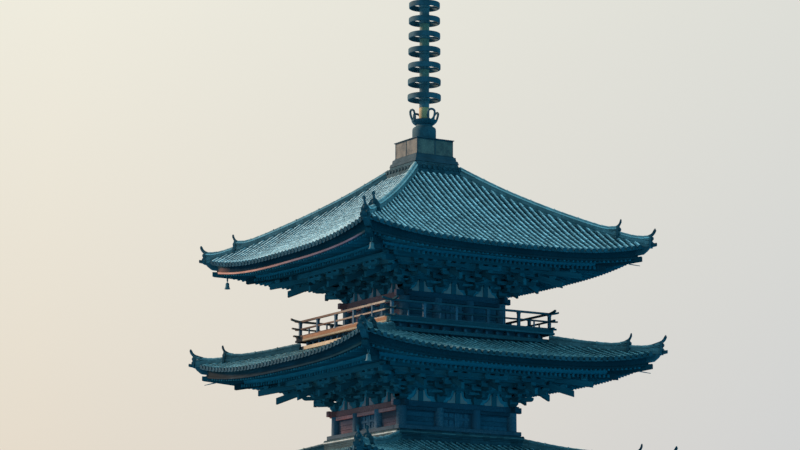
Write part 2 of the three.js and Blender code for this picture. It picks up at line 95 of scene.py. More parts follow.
# Corners as turns of the near corner: 0 near, 1 right, 2 back, 3 left
LOST_HORNS = (3, 0)
BELLS = (("bell_top_near", 4, 0), ("bell_top_left", 4, 3), ("bell_fourth_near", 3, 0))
BELL_INSET = 0.58
BELL_PIN_DROP = 0.82

QUARTER = math.pi / 2
UP = Vector((0, 0, 1))


# Forms, and gathering many copies of them into one piece
class Form:
    """A small closed shape, kept as arrays so that it can be copied many times."""

    def __init__(self, bm):
        bmesh.ops.recalc_face_normals(bm, faces=bm.faces[:])
        bm.verts.index_update()
        corners = []
        starts = []
        for face in bm.faces:
            starts.append(len(corners))
            corners.extend(v.index for v in face.verts)
        self.points = np.array([v.co[:] for v in bm.verts])
        self.corners = np.array(corners)
        self.starts = np.array(starts)
        bm.free()


def gather(name, copies, material, nodes=(), sides=4, body="tower", sharp=32):
    """Makes one piece from (form, place) copies, repeated round the tower's four sides."""
    rng = np.random.default_rng(len(copies) + 7)
    turns = [np.array(Matrix.Rotation(k * QUARTER, 4, "Z")) for k in range(sides)]
    by_form = {}
    for form, place in copies:
        by_form.setdefault(id(form), (form, []))[1].append(np.array(place))
    points, tones, grains, corners, starts = [], [], [], [], []
    first = 0
    first_corner = 0
    for form, places in by_form.values():
        places = np.array(places)
        size = np.linalg.norm(places[:, :3, :3], axis=1)
        count = len(places)
        n = len(form.points)
        for turn in turns:
            world = turn @ places
            placed = np.einsum("kij,nj->kni", world[:, :3, :3], form.points) + world[:, None, :3, 3]
            points.append(placed.reshape(-1, 3))
            tones.append(np.repeat(rng.random(count), n))
            shift = rng.random((count, 1, 3)) * 20
            grains.append((form.points[None] * size[:, None] + shift).reshape(-1, 3))
            step = np.arange(count)[:, None]
            corners.append((form.corners[None] + first + step * n).ravel())
            starts.append((form.starts[None] + first_corner + step * len(form.corners)).ravel())
            first += count * n
            first_corner += count * len(form.corners)
    points, tones, grains = np.concatenate(points), np.concatenate(tones), np.concatenate(grains)
    corners, starts = np.concatenate(corners), np.concatenate(starts)
    mesh = bpy.data.meshes.new(name)
    mesh.vertices.add(len(points))
    mesh.vertices.foreach_set("co", points.ravel())
    mesh.loops.add(len(corners))
    mesh.loops.foreach_set("vertex_index", corners)
    mesh.polygons.add(len(starts))
    mesh.polygons.foreach_set("loop_start", starts)
    mesh.update(calc_edges=True)
    mesh.shade_smooth()
    mesh.set_sharp_from_angle(angle=math.radians(sharp))
    mesh.attributes.new("tone", "FLOAT", "POINT").data.foreach_set("value", tones)
    mesh.attributes.new("grain", "FLOAT_VECTOR", "POINT").data.foreach_set("vector", grains.ravel())
    mesh.materials.append(material)
    piece = bpy.data.objects.new(name, mesh)
    bpy.context.scene.collection.objects.link(piece)
    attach(piece, body)
    if nodes:
        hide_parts(*nodes)
    return piece


def front(x, out, z):
    """A point by its place along the front side, its distance out from the axis and its height."""
    return Vector((x, -out, z))


def hip(half, z):
    """A point on the near corner's diagonal."""
    return Vector((-half, -half, z))


def put(at, turn=0.0, size=(1, 1, 1)):
    """A place that is turned about its own upright axis and stretched."""
    return Matrix.Translation(at) @ Matrix.Rotation(turn, 4, "Z") @ Matrix.Diagonal((*size, 1))


def between(a, b, width, depth):
    """Stretches the unit beam from a to b, its ends cut upright."""
    along = b - a
    across = along.cross(UP).normalized() * width
    return columns(across, along, UP * depth, a)


def columns(x, y, z, at):
    """A place whose own axes lie along x, y and z."""
    place = Matrix.Identity(4)
    for index, column in enumerate((x, y, z, at)):
        place.col[index][:3] = column
    return place


def everything(bm):
    return bm.verts[:] + bm.edges[:] + bm.faces[:]


def verts_of(geometry):
    return [part for part in geometry if isinstance(part, bmesh.types.BMVert)]


def lay_down(bm):
    """Turns a shape made upright to lie along Y."""
    bmesh.ops.rotate(bm, cent=(0, 0, 0), matrix=Matrix.Rotation(-QUARTER, 3, "X"), verts=bm.verts)


def close_ends(bm):
    bmesh.ops.holes_fill(bm, edges=[edge for edge in bm.edges if edge.is_boundary], sides=0)


def block(width, length, height, wear=0.008, at=(0, 0, 0)):
    """A box with worn edges, centred on at."""
    bm = bmesh.new()
    bmesh.ops.create_cube(bm, size=1)
    bmesh.ops.scale(bm, vec=(width, length, height), verts=bm.verts)
    bmesh.ops.translate(bm, vec=at, verts=bm.verts)
    if wear:
        bmesh.ops.bevel(bm, geom=bm.edges[:], offset=wear, offset_type="OFFSET", segments=1, profile=0.5,
                        affect="EDGES", material=-1)
    return Form(bm)


def turned(profile, steps):
    """Spins a profile of (radius, height) about the axis."""
    bm = bmesh.new()
    verts = [bm.verts.new((r, 0, z)) for r, z in profile]
    edges = [bm.edges.new(pair) for pair in zip(verts, verts[1:])]
    bmesh.ops.spin(bm, geom=verts + edges, cent=(0, 0, 0), axis=(0, 0, 1), angle=math.tau, steps=steps,
                   use_merge=True, use_duplicate=False)
    bmesh.ops.remove_doubles(bm, verts=bm.verts[:], dist=1e-5)
    return Form(bm)


def grown_plate(bm, outline, shift):
    """Closes the outline with a face and draws it out into a board."""
    face = bm.faces.new([bm.verts.new(point) for point in outline])
    grown = bmesh.ops.extrude_face_region(bm, geom=[face], use_keep_orig=True)["geom"]
    bmesh.ops.translate(bm, vec=shift, verts=verts_of(grown))


def plate(outline, thickness, inset=0.0, relief=0.0):
    """A board of the given (x, z) outline, lying along X and facing -Y, with its face let in or raised."""
    bm = bmesh.new()
    grown_plate(bm, [(x, thickness / 2, z) for x, z in outline], (0, -thickness, 0))
    bmesh.ops.recalc_face_normals(bm, faces=bm.faces[:])
    if inset:
        fronts = [f for f in bm.faces if f.normal.y < -0.9]
        bmesh.ops.inset_region(bm, faces=fronts, thickness=inset, depth=relief)
    return Form(bm)


def blade(outline, half_width):
    """A plate along the near corner's diagonal, from (half, z) points."""
    bm = bmesh.new()
    across = Vector((1, -1, 0)).normalized() * half_width
    grown_plate(bm, [hip(half, z) - across for half, z in outline], across * 2)
    return Form(bm)


def ring(section, parts=24):
    """A closed band round the tower. The section lists (half, height at t) all the way round."""
    bm = bmesh.new()
    rows = len(section)
    bmesh.ops.create_grid(bm, x_segments=parts, y_segments=rows, size=0.5)
    for v in bm.verts:
        t = 2 * v.co.x
        half, height = section[round((v.co.y + 0.5) * rows) % rows]
        v.co = front(t * half, half, height(t) if callable(height) else height)
    side = everything(bm)
    for k in (1, 2, 3):
        copy = bmesh.ops.duplicate(bm, geom=side)["geom"]
        turn = Matrix.Rotation(k * QUARTER, 3, "Z")
        bmesh.ops.rotate(bm, cent=(0, 0, 0), matrix=turn, verts=verts_of(copy))
    bmesh.ops.remove_doubles(bm, verts=bm.verts[:], dist=1e-4)
    return Form(bm)


def square_ring(outer, inner, low, high):
    return ring([(outer, low), (outer, high), (inner, high), (inner, low)], parts=1)


def half_round(low_radius, high_radius, below=0.0, segments=12):
    """Half a tapered pipe of unit length along Y, cut flat a little below its axis."""
    bm = bmesh.new()
    bmesh.ops.create_cone(bm, cap_ends=True, segments=segments, radius1=low_radius, radius2=high_radius,
                          depth=1)
    lay_down(bm)
    bmesh.ops.translate(bm, vec=(0, 0.5, 0), verts=bm.verts)
    bmesh.ops.bisect_plane(bm, geom=everything(bm), plane_co=(0, 0, -below), plane_no=(0, 0, 1),
                           clear_inner=True)
    close_ends(bm)
    return Form(bm)


def pipe(radius, segments=10, length=1.0):
    """A rod along Y from 0."""
    bm = bmesh.new()
    bmesh.ops.create_cone(bm, cap_ends=True, segments=segments, radius1=radius, radius2=radius, depth=length)
    lay_down(bm)
    bmesh.ops.translate(bm, vec=(0, length / 2, 0), verts=bm.verts)
    return Form(bm)


def hollow(x):
    """Rise of a hollow tile's face beside its middle."""
    return PAN_SAG * (x / PAN_HALF) ** 2


def pan_form():
    """Hollow tile of unit length along Y, on a flat bed."""
    bm = bmesh.new()
    bed = [(-PAN_HALF, -0.052), (PAN_HALF, -0.052)]
    face = [(x, hollow(x) - PAN_SAG) for x in (PAN_HALF, 0.037, -0.037, -PAN_HALF)]
    grown_plate(bm, [(x, 0, z) for x, z in bed + face], (0, 1, 0))
    return Form(bm)


def eave_disc_form():
    """Round end of a cover tile, facing -Y, with a raised rim and a boss."""
    bm = bmesh.new()
    bmesh.ops.create_cone(bm, cap_ends=True, segments=12, radius1=0.088, radius2=0.084, depth=0.04)
    lay_down(bm)
    face = [f for f in bm.faces if f.normal.y < -0.9]
    for width, rise in ((0.018, 0.0), (0.004, -0.010), (0.030, 0.006)):
        bmesh.ops.inset_region(bm, faces=face, thickness=width, depth=rise)
    return Form(bm)


def eave_lip_form():
    """Hanging lip of an eave pan tile, facing -Y."""
    across = (-PAN_HALF, -0.045, 0.045, PAN_HALF)
    low = [(x, hollow(x) - 0.088 + 0.02 * abs(x / PAN_HALF)) for x in across]
    high = [(x, hollow(x) - 0.028) for x in reversed(across)]
    return plate(low + high, 0.022)


def ornament_form():
    """Ridge-end tile with lobed shoulders and a round boss."""
    right = [(0.235, -0.14), (0.275, -0.03), (0.215, 0.06), (0.215, 0.17), (0.15, 0.25), (0.09, 0.33)]
    outline = [(x, z) for x, z in right] + [(0, 0.36)] + [(-x, z) for x, z in reversed(right)]
    return plate(outline, 0.09, inset=0.045, relief=-0.018)


def boss_form():
    """Round knob, a little flattened towards what it sits on."""
    bm = bmesh.new()
    bmesh.ops.create_uvsphere(bm, u_segments=14, v_segments=8, radius=0.09)
    bmesh.ops.scale(bm, vec=(1, 0.8, 1), verts=bm.verts)
    return Form(bm)


def swept(points, radii, segments=8):
    """A round bar through points, thinning as its radii do."""
    bm = bmesh.new()
    bmesh.ops.create_circle(bm, cap_ends=True, segments=segments, radius=1)
    places = []
    for k, (point, radius) in enumerate(zip(points, radii)):
        along = Vector(points[min(k + 1, len(points) - 1)]) - Vector(points[max(k - 1, 0)])
        turn = along.to_track_quat("Z", "X").to_matrix().to_4x4()
        places.append(Matrix.Translation(point) @ turn @ Matrix.Scale(radius, 4))
    end = bm.verts[:]
    bmesh.ops.transform(bm, matrix=places[0], verts=end)
    for old, new in zip(places, places[1:]):
        rim = [e for e in bm.edges if all(v in end for v in e.verts)]
        end = verts_of(bmesh.ops.extrude_edge_only(bm, edges=rim)["geom"])
        bmesh.ops.transform(bm, matrix=new @ old.inverted(), verts=end)
    close_ends(bm)
    return Form(bm)


def arm_form(length, width=0.13, height=0.14):
    """Bracket arm along Y, its two ends rounded from below."""
    bm = bmesh.new()
    bmesh.ops.create_cube(bm, size=1)
    bmesh.ops.scale(bm, vec=(width, length, height), verts=bm.verts)
    low = [e for e in bm.edges if all(v.co.z < 0 for v in e.verts)]
    ends = [e for e in low if abs(e.verts[0].co.y - e.verts[1].co.y) < 1e-6]
    bmesh.ops.bevel(bm, geom=ends, offset=0.10, offset_type="OFFSET", segments=4, profile=0.5,
                    affect="EDGES", material=-1)
    bmesh.ops.translate(bm, vec=(0, 0, height / 2), verts=bm.verts)
    return Form(bm)


def bearing_form():
    """Bearing block of unit size, its lower half drawn in by a hollow curve."""
    bm = bmesh.new()
    bmesh.ops.create_cube(bm, size=1)
    for level in (-0.05, -0.3):
        bmesh.ops.bisect_plane(bm, geom=everything(bm), plane_co=(0, 0, level), plane_no=(0, 0, 1))
    for v in bm.verts:
        share = 0.66 if v.co.z < -0.4 else 0.76 if v.co.z < -0.2 else 1
        v.co.x *= share
        v.co.y *= share
        v.co.z += 0.5
    return Form(bm)


BEAM = block(1, 1, 1, wear=0, at=(0, 0.5, 0))
COVER = half_round(COVER_RADIUS, COVER_RADIUS * 0.80, below=0.035, segments=10)
PAN = pan_form()
DISC = eave_disc_form()
LIP = eave_lip_form()
ORNAMENT = ornament_form()
BOSS = boss_form()
HORN_CURVE = ((-0.20, -0.11), (-0.10, -0.06), (0, 0), (0.06, 0.05), (0.105, 0.12), (0.13, 0.19), (0.14, 0.24))
HORN_RADII = (0.074, 0.070, 0.060, 0.050, 0.044, 0.040, 0.036)
HORN = swept([(0, out, up) for out, up in HORN_CURVE], HORN_RADII)
STRAP = half_round(0.092, 0.092)
BEARING = bearing_form()
ARM_SHORT = arm_form(0.74)
ARM = arm_form(1.00)
ARM_LONG = arm_form(1.30)
ROD = pipe(1)


# Finishes
def group(name, inputs, outputs):
    """An empty shader node group with named sockets, and its two end nodes."""
    tree = bpy.data.node_groups.new(name, "ShaderNodeTree")
    for socket, kind, default in inputs:
        made = tree.interface.new_socket(socket, in_out="INPUT", socket_type=kind)
        if default is not None:
            made.default_value = default
    for socket, kind in outputs:
        tree.interface.new_socket(socket, in_out="OUTPUT", socket_type=kind)
    return tree, tree.nodes.new("NodeGroupInput"), tree.nodes.new("NodeGroupOutput")


def node(tree, kind, inputs=None, **settings):
    made = tree.nodes.new(kind)
    for key, value in settings.items():
        setattr(made, key, value)
    for key, value in (inputs or {}).items():
        if isinstance(value, bpy.types.NodeSocket):
            tree.links.new(value, made.inputs[key])
        else:
            made.inputs[key].default_value = value
    return made


def ramp(tree, value, low, high):
    """0 below low, 1 above high."""
    limits = {"Value": value, "From Min": low, "From Max": high}
    return node(tree, "ShaderNodeMapRange", limits).outputs["Result"]


def mixed(tree, share, a, b, blend="MIX"):
    made = node(tree, "ShaderNodeMix", data_type="RGBA", blend_type=blend)
    for index, value in ((0, share), (6, a), (7, b)):
        if isinstance(value, bpy.types.NodeSocket):
            tree.links.new(value, made.inputs[index])
        else:
            made.inputs[index].default_value = value
    return made.outputs[2]


def maths(tree, operation, a, b=0.0):
    return node(tree, "ShaderNodeMath", {0: a, 1: b}, operation=operation).outputs[0]


def noise(tree, where, scale, detail, roughness=0.5):
    settings = {"Vector": where, "Scale": scale, "Detail": detail, "Roughness": roughness}
    return node(tree, "ShaderNodeTexNoise", settings).outputs["Fac"]


def grain_group():
    """Long fibres, cracks and bleached streaks of old timber, along each timber's own length."""
    tree, start, end = group(
        "timber_grain",
        (
            ("Dark", "NodeSocketColor", (0.05, 0.03, 0.02, 1)),
            ("Bleached", "NodeSocketColor", (0.2, 0.15, 0.12, 1)),
        ),
        (("Color", "NodeSocketColor"), ("Rough", "NodeSocketFloat"), ("Height", "NodeSocketFloat")),
    )
    grain = node(tree, "ShaderNodeAttribute", attribute_name="grain").outputs["Vector"]
    tone = node(tree, "ShaderNodeAttribute", attribute_name="tone").outputs["Fac"]
    stretched = node(tree, "ShaderNodeMapping", {"Vector": grain, "Scale": (22, 1.4, 22)}).outputs[0]
    fibres = noise(tree, stretched, 1.0, 5.0, 0.62)
    patches = noise(tree, grain, 0.9, 3.0)
    worn = maths(tree, "MULTIPLY", ramp(tree, fibres, 0.40, 0.66), ramp(tree, patches, 0.32, 0.62))
    shade = maths(tree, "MULTIPLY_ADD", tone, 0.5)
    shade.node.inputs[2].default_value = 0.72
    colour = mixed(tree, worn, start.outputs["Dark"], start.outputs["Bleached"])
    toned = node(tree, "ShaderNodeHueSaturation", {"Value": shade, "Color": colour}).outputs["Color"]
    tree.links.new(toned, end.inputs["Color"])
    rough = node(tree, "ShaderNodeMapRange", {"Value": fibres, "To Min": 0.62, "To Max": 0.9})
    tree.links.new(rough.outputs["Result"], end.inputs["Rough"])
    tree.links.new(fibres, end.inputs["Height"])
    return tree


def weather_group():
    """Broad stains, fine speckle and lichen for tiles, stone, plaster and metal, with painted light on upward
    faces.
    """
    colours = [(name, "NodeSocketColor", (0.3, 0.3, 0.3, 1)) for name in ("Base", "Stain", "Bloom")]
    amounts = ("Scale", "Stained", "Bloomed", "Variation", "Settled")
    numbers = [(name, "NodeSocketFloat", 0.5) for name in amounts]
    tree, start, end = group(
        "weathering",
        colours + numbers,
        (("Color", "NodeSocketColor"), ("Height", "NodeSocketFloat")),
    )
    where = node(tree, "ShaderNodeTexCoord").outputs["Object"]
    scaled = {0: where, "Scale": start.outputs["Scale"]}
    where = node(tree, "ShaderNodeVectorMath", scaled, operation="SCALE").outputs[0]
    tone = node(tree, "ShaderNodeAttribute", attribute_name="tone").outputs["Fac"]
    broad = noise(tree, where, 0.8, 6.0, 0.6)
    speckle = noise(tree, where, 9.0, 5.0, 0.7)
    cells = {"Vector": where, "Scale": 5.0, "Randomness": 1.0}
    spots = node(tree, "ShaderNodeTexVoronoi", cells).outputs["Distance"]
    stained = maths(tree, "MULTIPLY", ramp(tree, broad, 0.42, 0.64), start.outputs["Stained"])
    lichen = maths(tree, "MULTIPLY", ramp(tree, speckle, 0.50, 0.68), start.outputs["Bloomed"])
    lichen = maths(tree, "MULTIPLY", lichen, ramp(tree, spots, 0.62, 0.25))
    colour = mixed(tree, stained, start.outputs["Base"], start.outputs["Stain"])
    colour = mixed(tree, lichen, colour, start.outputs["Bloom"])
    # Upward faces take the pale bloom colour in speckled patches: partly lichen, partly painted light from the sky
    # on the tops.
    facing = node(tree, "ShaderNodeNewGeometry").outputs["Normal"]
    upward = node(tree, "ShaderNodeSeparateXYZ", {"Vector": facing}).outputs["Z"]
    settled = maths(tree, "MULTIPLY", ramp(tree, upward, 0.56, 0.80), start.outputs["Settled"])
    settled = maths(tree, "MULTIPLY", settled, ramp(tree, speckle, 0.34, 0.56))
    colour = mixed(tree, settled, colour, start.outputs["Bloom"])
    spread = maths(tree, "MULTIPLY", maths(tree, "SUBTRACT", tone, 0.5), start.outputs["Variation"])
    value = maths(tree, "ADD", spread, 1.0)
    colour = node(tree, "ShaderNodeHueSaturation", {"Value": value, "Color": colour}).outputs["Color"]
    tree.links.new(colour, end.inputs["Color"])
    height = maths(tree, "ADD", speckle, maths(tree, "MULTIPLY", broad, 0.6))
    tree.links.new(height, end.inputs["Height"])
    return tree


GRAIN = grain_group()
WEATHER = weather_group()


def finish(name, specular, metallic=0.0):
    """A new material with its tree and its shader."""
    material = bpy.data.materials.new(name)
    material.use_nodes = True
    shader = material.node_tree.nodes["Principled BSDF"]
    shader.inputs["Metallic"].default_value = metallic
    shader.inputs["Specular IOR Level"].default_value = specular
    return material, material.node_tree, shader


def add_bump(tree, shader, height, strength, distance):
    bump = node(tree, "ShaderNodeBump", {"Height": height, "Strength": strength, "Distance": distance})
    tree.links.new(bump.outputs["Normal"], shader.inputs["Normal"])


def add_grain(tree, shader, dark, bleached):
    """Grain that roughens and lifts the surface, and its colour between the two given."""
    made = node(tree, "ShaderNodeGroup", node_tree=GRAIN)
    made.inputs["Dark"].default_value = (*dark, 1)
    made.inputs["Bleached"].default_value = (*bleached, 1)
    tree.links.new(made.outputs["Rough"], shader.inputs["Roughness"])
    add_bump(tree, shader, made.outputs["Height"], 0.5, 0.012)
    return made.outputs["Color"]


def timber(name, dark, bleached, specular=0.0):
    """Timber of one colour, shaded by its grain."""
    material, tree, shader = finish(name, specular)
    colour = add_grain(tree, shader, dark, bleached)
    tree.links.new(colour, shader.inputs["Base Color"])
    return material


def sunned_timber(name, *shades):
    """Timber with painted sunlight and shade, its colours given as (place, colour) along the front and left sides:
    painted shade on the front, painted sunlight along the left side, laid over the grain.
    """
    material, tree, shader = finish(name, 0.0)
    # 0 on the front side, rising along the left side towards the back: where painted shade turns to painted
    # sunlight.
    place = node(tree, "ShaderNodeTexCoord").outputs["Object"]
    split = node(tree, "ShaderNodeSeparateXYZ", {"Vector": place})
    along = maths(tree, "SUBTRACT", split.outputs["Y"], split.outputs["X"])
    blend = node(tree, "ShaderNodeValToRGB", {"Fac": ramp(tree, along, 0.0, 2 * EAVE_HALF[TOP])})
    stops = blend.color_ramp.elements
    for stop, (position, colour) in zip(stops, (shades[0], shades[-1])):
        stop.position = position
        stop.color = (*colour, 1)
    for position, colour in shades[1:-1]:
        stops.new(position).color = (*colour, 1)
    grain = add_grain(tree, shader, (0.55, 0.55, 0.55), (1, 1, 1))
    colour = mixed(tree, 1.0, blend.outputs["Color"], grain, blend="MULTIPLY")
    tree.links.new(colour, shader.inputs["Base Color"])
    return material


def weathered(name, look, base, stain, bloom, **changes):
    """A finish of one family's look, with its own colours and what differs from the family."""
    look = look | changes
    material, tree, shader = finish(name, look["specular"], look["metallic"])
    made = node(tree, "ShaderNodeGroup", node_tree=WEATHER)
    for key, colour in (("Base", base), ("Stain", stain), ("Bloom", bloom)):
        made.inputs[key].default_value = (*colour, 1)
    for key in ("Scale", "Stained", "Bloomed", "Variation", "Settled"):
        made.inputs[key].default_value = look[key.lower()]
    tree.links.new(made.outputs["Color"], shader.inputs["Base Color"])
    low, high = look["roughness"]
    height = made.outputs["Height"]
    limits = {"Value": height, "From Min": 0.4, "From Max": 1.2, "To Min": low, "To Max": high}
    rough = node(tree, "ShaderNodeMapRange", limits)
    tree.links.new(rough.outputs["Result"], shader.inputs["Roughness"])
    add_bump(tree, shader, made.outputs["Height"], look["bump"], 0.01)
    return material


# Families of weathered finishes
FIRED = {"scale": 1.6, "stained": 0.7, "bloomed": 0.5, "variation": 0.5, "settled": 0.0, "metallic": 0.0,
         "roughness": (0.40, 0.70), "bump": 0.5, "specular": 0.4}
DAMP = FIRED | {"roughness": (0.60, 0.85), "specular": 0.2}
LIMED = FIRED | {"scale": 2.2, "stained": 0.6, "bloomed": 0.3, "variation": 0.2, "roughness": (0.80, 0.95),
                 "bump": 0.25, "specular": 0.1}
CAST = FIRED | {"scale": 2.6, "stained": 0.8, "bloomed": 0.7, "variation": 0.2, "roughness": (0.60, 0.85),
                "bump": 0.3, "specular": 0.15}
SHEET = CAST | {"scale": 3.2, "variation": 0.25, "roughness": (0.62, 0.85)}

# Tiles
# Top roof: painted light pales the cover tiles' upward faces against their darker sides, in lichen-like patches.
CLAY = weathered("smoked_clay", FIRED, (0.070, 0.108, 0.122), (0.035, 0.065, 0.080), (0.75, 0.77, 0.74),
                 settled=0.88)
# Eave row of the top roof: paler clay with lichen, and painted light on the tiles' tops.
PALE_CLAY = weathered("lichened_eave_clay", FIRED, (0.14, 0.20, 0.22), (0.07, 0.12, 0.14), (0.74, 0.74, 0.70),
                      stained=0.6, bloomed=0.7, settled=0.9, specular=0.5)
# Lower roofs: the top roof's clay painted darker and bluer, as painted shade where the roofs above hide the sky.
LOWER_CLAY = weathered("damp_clay", DAMP, (0.040, 0.100, 0.112), (0.024, 0.062, 0.074), (0.38, 0.52, 0.52),
                       stained=0.8, bloomed=0.6, variation=0.6, roughness=(0.5, 0.8), settled=0.62)
# Hollow tiles: dark as painted shade in the gaps between the cover tiles.
SHADED_CLAY = weathered("damp_hollow_clay", DAMP, (0.026, 0.044, 0.050), (0.018, 0.033, 0.038),
                        (0.12, 0.15, 0.14), stained=0.8, bloomed=0.3)
RIDGE_CLAY = weathered("ridge_clay", DAMP, (0.095, 0.115, 0.115), (0.050, 0.070, 0.072), (0.32, 0.35, 0.32),
                       variation=0.4, roughness=(0.55, 0.8))
# Dark as painted shade: the tile ends, corner tongues, ridge ornaments, horns, flashing courses and the courses at
# the spire's foot.
TILE_END_CLAY = weathered("shaded_end_clay", DAMP, (0.024, 0.050, 0.060), (0.014, 0.032, 0.038),
                          (0.09, 0.14, 0.14), specular=0.1)
# Round ridge tiles: paler than the courses, with painted light on their tops for each ridge's lit crest.
CAP_CLAY = weathered("ridge_cap_clay", FIRED, (0.12, 0.15, 0.15), (0.05, 0.08, 0.085), (0.55, 0.58, 0.55),
                     variation=0.4, settled=0.5)

# Timber
# Blue-green in this timber's colour is painted shade, the blue-green of the shade it stands in.
OLD_TIMBER = timber("old_timber", (0.045, 0.072, 0.096), (0.120, 0.130, 0.150), specular=0.1)
# Rafters: dark blue-green with hardly any red, as painted shade under the eaves.
RAFTER_TIMBER = timber("rafter_timber", (0.016, 0.075, 0.092), (0.030, 0.115, 0.138))
# Roof boards between the rafters: paler, as painted light that lifts the deep shade there.
SOFFIT_BOARDS = timber("soffit_boards", (0.026, 0.130, 0.160), (0.040, 0.180, 0.215))
# Hip rafters, darkest, and bracket sets: dark blue-green, as painted shade under the eaves.
HIP_TIMBER = timber("hip_rafter_timber", (0.010, 0.034, 0.042), (0.018, 0.052, 0.062))
BRACKET_TIMBER = timber("bracket_timber", (0.028, 0.086, 0.102), (0.046, 0.122, 0.140))
# Boards behind the brackets: paler still, as painted light that lifts the deep shade in the recesses between the
# bracket sets.
SHELTERED_TIMBER = timber("sheltered_timber", (0.060, 0.150, 0.175), (0.100, 0.200, 0.225))
DOOR_TIMBER = timber("door_timber", (0.038, 0.070, 0.096), (0.105, 0.130, 0.155), specular=0.1)
# Painted light on the top roof's eave edge: dark blue-green painted shade on the front, turning to orange painted
# sunlight towards the back of the left side.
EDGE_TIMBER = sunned_timber(
    "eave_edge_timber", (0.0, (0.025, 0.05, 0.06)), (0.035, (0.04, 0.06, 0.07)), (0.07, (0.13, 0.10, 0.14)),
    (0.45, (0.36, 0.20, 0.20)), (0.74, (0.76, 0.31, 0.22)), (1.0, (1.0, 0.43, 0.30)),
)
# Painted shade on the lower roofs' eave edges and fillings: dark blue-green, a little warmer towards the back of
# the left side.
LOWER_EDGE_TIMBER = sunned_timber(
    "lower_eave_edge_timber", (0.0, (0.015, 0.045, 0.055)), (0.5, (0.030, 0.045, 0.055)),
    (1.0, (0.07, 0.060, 0.055)),
)
# Painted shade on the top roof's filling, dark under the tiles' overhang, with orange painted sunlight only at the
# back end of the left side.
FILLING_TIMBER = sunned_timber(
    "eave_filling_timber", (0.0, (0.012, 0.045, 0.055)), (0.86, (0.028, 0.040, 0.050)),
    (0.97, (0.42, 0.18, 0.13)),
)
# Painted light on the head beams: red-brown painted warm light along the left side, dark blue-green painted shade
# on the front.
HEAD_TIMBER = sunned_timber(
    "head_beam_timber", (0.0, (0.045, 0.080, 0.105)), (0.024, (0.05, 0.08, 0.10)),
    (0.030, (0.80, 0.20, 0.17)), (1.0, (0.90, 0.24, 0.20)),
)
# Painted light on the deck's edge boards and lips: orange and cream painted sunlight along the left side, dark
# painted shade on the front and at the left side's back end.
DECK_TIMBER = sunned_timber(
    "deck_edge_timber", (0.0, (0.035, 0.10, 0.12)), (0.022, (0.035, 0.10, 0.12)),
    (0.028, (0.56, 0.25, 0.14)), (0.535, (0.52, 0.24, 0.14)), (0.541, (0.05, 0.05, 0.055)),
)
LIP_TIMBER = sunned_timber(
    "deck_lip_timber", (0.0, (0.045, 0.11, 0.13)), (0.022, (0.045, 0.11, 0.13)),
    (0.028, (0.78, 0.52, 0.34)), (0.535, (0.66, 0.44, 0.29)), (0.541, (0.05, 0.05, 0.055)),
)
# Painted light on the rails: orange painted sunlight on the near half of the left side, fading to brown further
# back, dark painted shade on the front.
RAIL_TIMBER = sunned_timber(
    "rail_timber", (0.0, (0.045, 0.085, 0.10)), (0.036, (0.045, 0.085, 0.10)), (0.042, (0.64, 0.43, 0.32)),
    (0.28, (0.50, 0.32, 0.24)), (0.38, (0.27, 0.15, 0.11)), (1.0, (0.15, 0.11, 0.09)),
)
# Painted light on the wall boards: red-brown painted warm light along the left side, dark blue-green painted shade
# on the front.
WALL_BOARDS = sunned_timber(
    "wall_boards", (0.0, (0.055, 0.115, 0.150)), (0.003, (0.055, 0.115, 0.150)),
    (0.007, (0.20, 0.120, 0.132)), (1.0, (0.22, 0.130, 0.135)),
)
# Painted shade on the flashing mortar: dark blue-green on the front, pale only along the left side, where painted
# sunlight falls.
FLASHING_MORTAR = sunned_timber(
    "flashing_mortar", (0.0, (0.13, 0.17, 0.17)), (0.003, (0.13, 0.17, 0.17)),
    (0.007, (0.56, 0.54, 0.50)), (1.0, (0.60, 0.58, 0.54)),
)

# Plaster, bronze and stone
PLASTER = weathered("lime_plaster", LIMED, (0.50, 0.21, 0.19), (0.26, 0.13, 0.12), (0.58, 0.30, 0.27))
TIE_PLASTER = weathered("ridge_tie_plaster", LIMED, (0.36, 0.34, 0.31), (0.20, 0.19, 0.18), (0.50, 0.48, 0.44),
                        specular=0.2)
MORTAR = weathered("ridge_mortar", LIMED, (0.46, 0.44, 0.40), (0.26, 0.26, 0.25), (0.66, 0.64, 0.60),
                   stained=0.5, bloomed=0.4)
BRONZE = weathered("patinated_bronze", CAST, (0.026, 0.060, 0.074), (0.014, 0.032, 0.039), (0.09, 0.17, 0.17),
                   bloomed=0.35, metallic=0.1)
MAST_BRONZE = weathered("mast_bronze", CAST, (0.070, 0.098, 0.104), (0.030, 0.048, 0.054), (0.17, 0.22, 0.21),
                        bloomed=0.45)
SLEEVE_BRONZE = weathered("verdigris_bronze", CAST, (0.46, 0.235, 0.100), (0.14, 0.13, 0.08),
                          (0.56, 0.34, 0.18), scale=1.6, roughness=(0.6, 0.8), specular=0.2)
WORN_BRONZE = weathered("worn_sleeve_bronze", CAST, (0.16, 0.135, 0.085), (0.07, 0.085, 0.070),
                        (0.30, 0.24, 0.15), scale=1.6, roughness=(0.6, 0.8), specular=0.2)
BOX_BRONZE = weathered("bronze_sheet", SHEET, (0.120, 0.085, 0.066), (0.05, 0.042, 0.040),
                       (0.25, 0.175, 0.125), stained=0.9, specular=0.2)
BOX_TRIM = weathered("dark_bronze_trim", SHEET, (0.030, 0.048, 0.058), (0.018, 0.030, 0.036),
                     (0.06, 0.080, 0.085), bloomed=0.4, specular=0.1)
BELL_BRONZE = weathered("bell_bronze", CAST, (0.085, 0.125, 0.130), (0.045, 0.070, 0.075), (0.18, 0.26, 0.25),
                        scale=9.0, stained=0.7, bloomed=0.6)
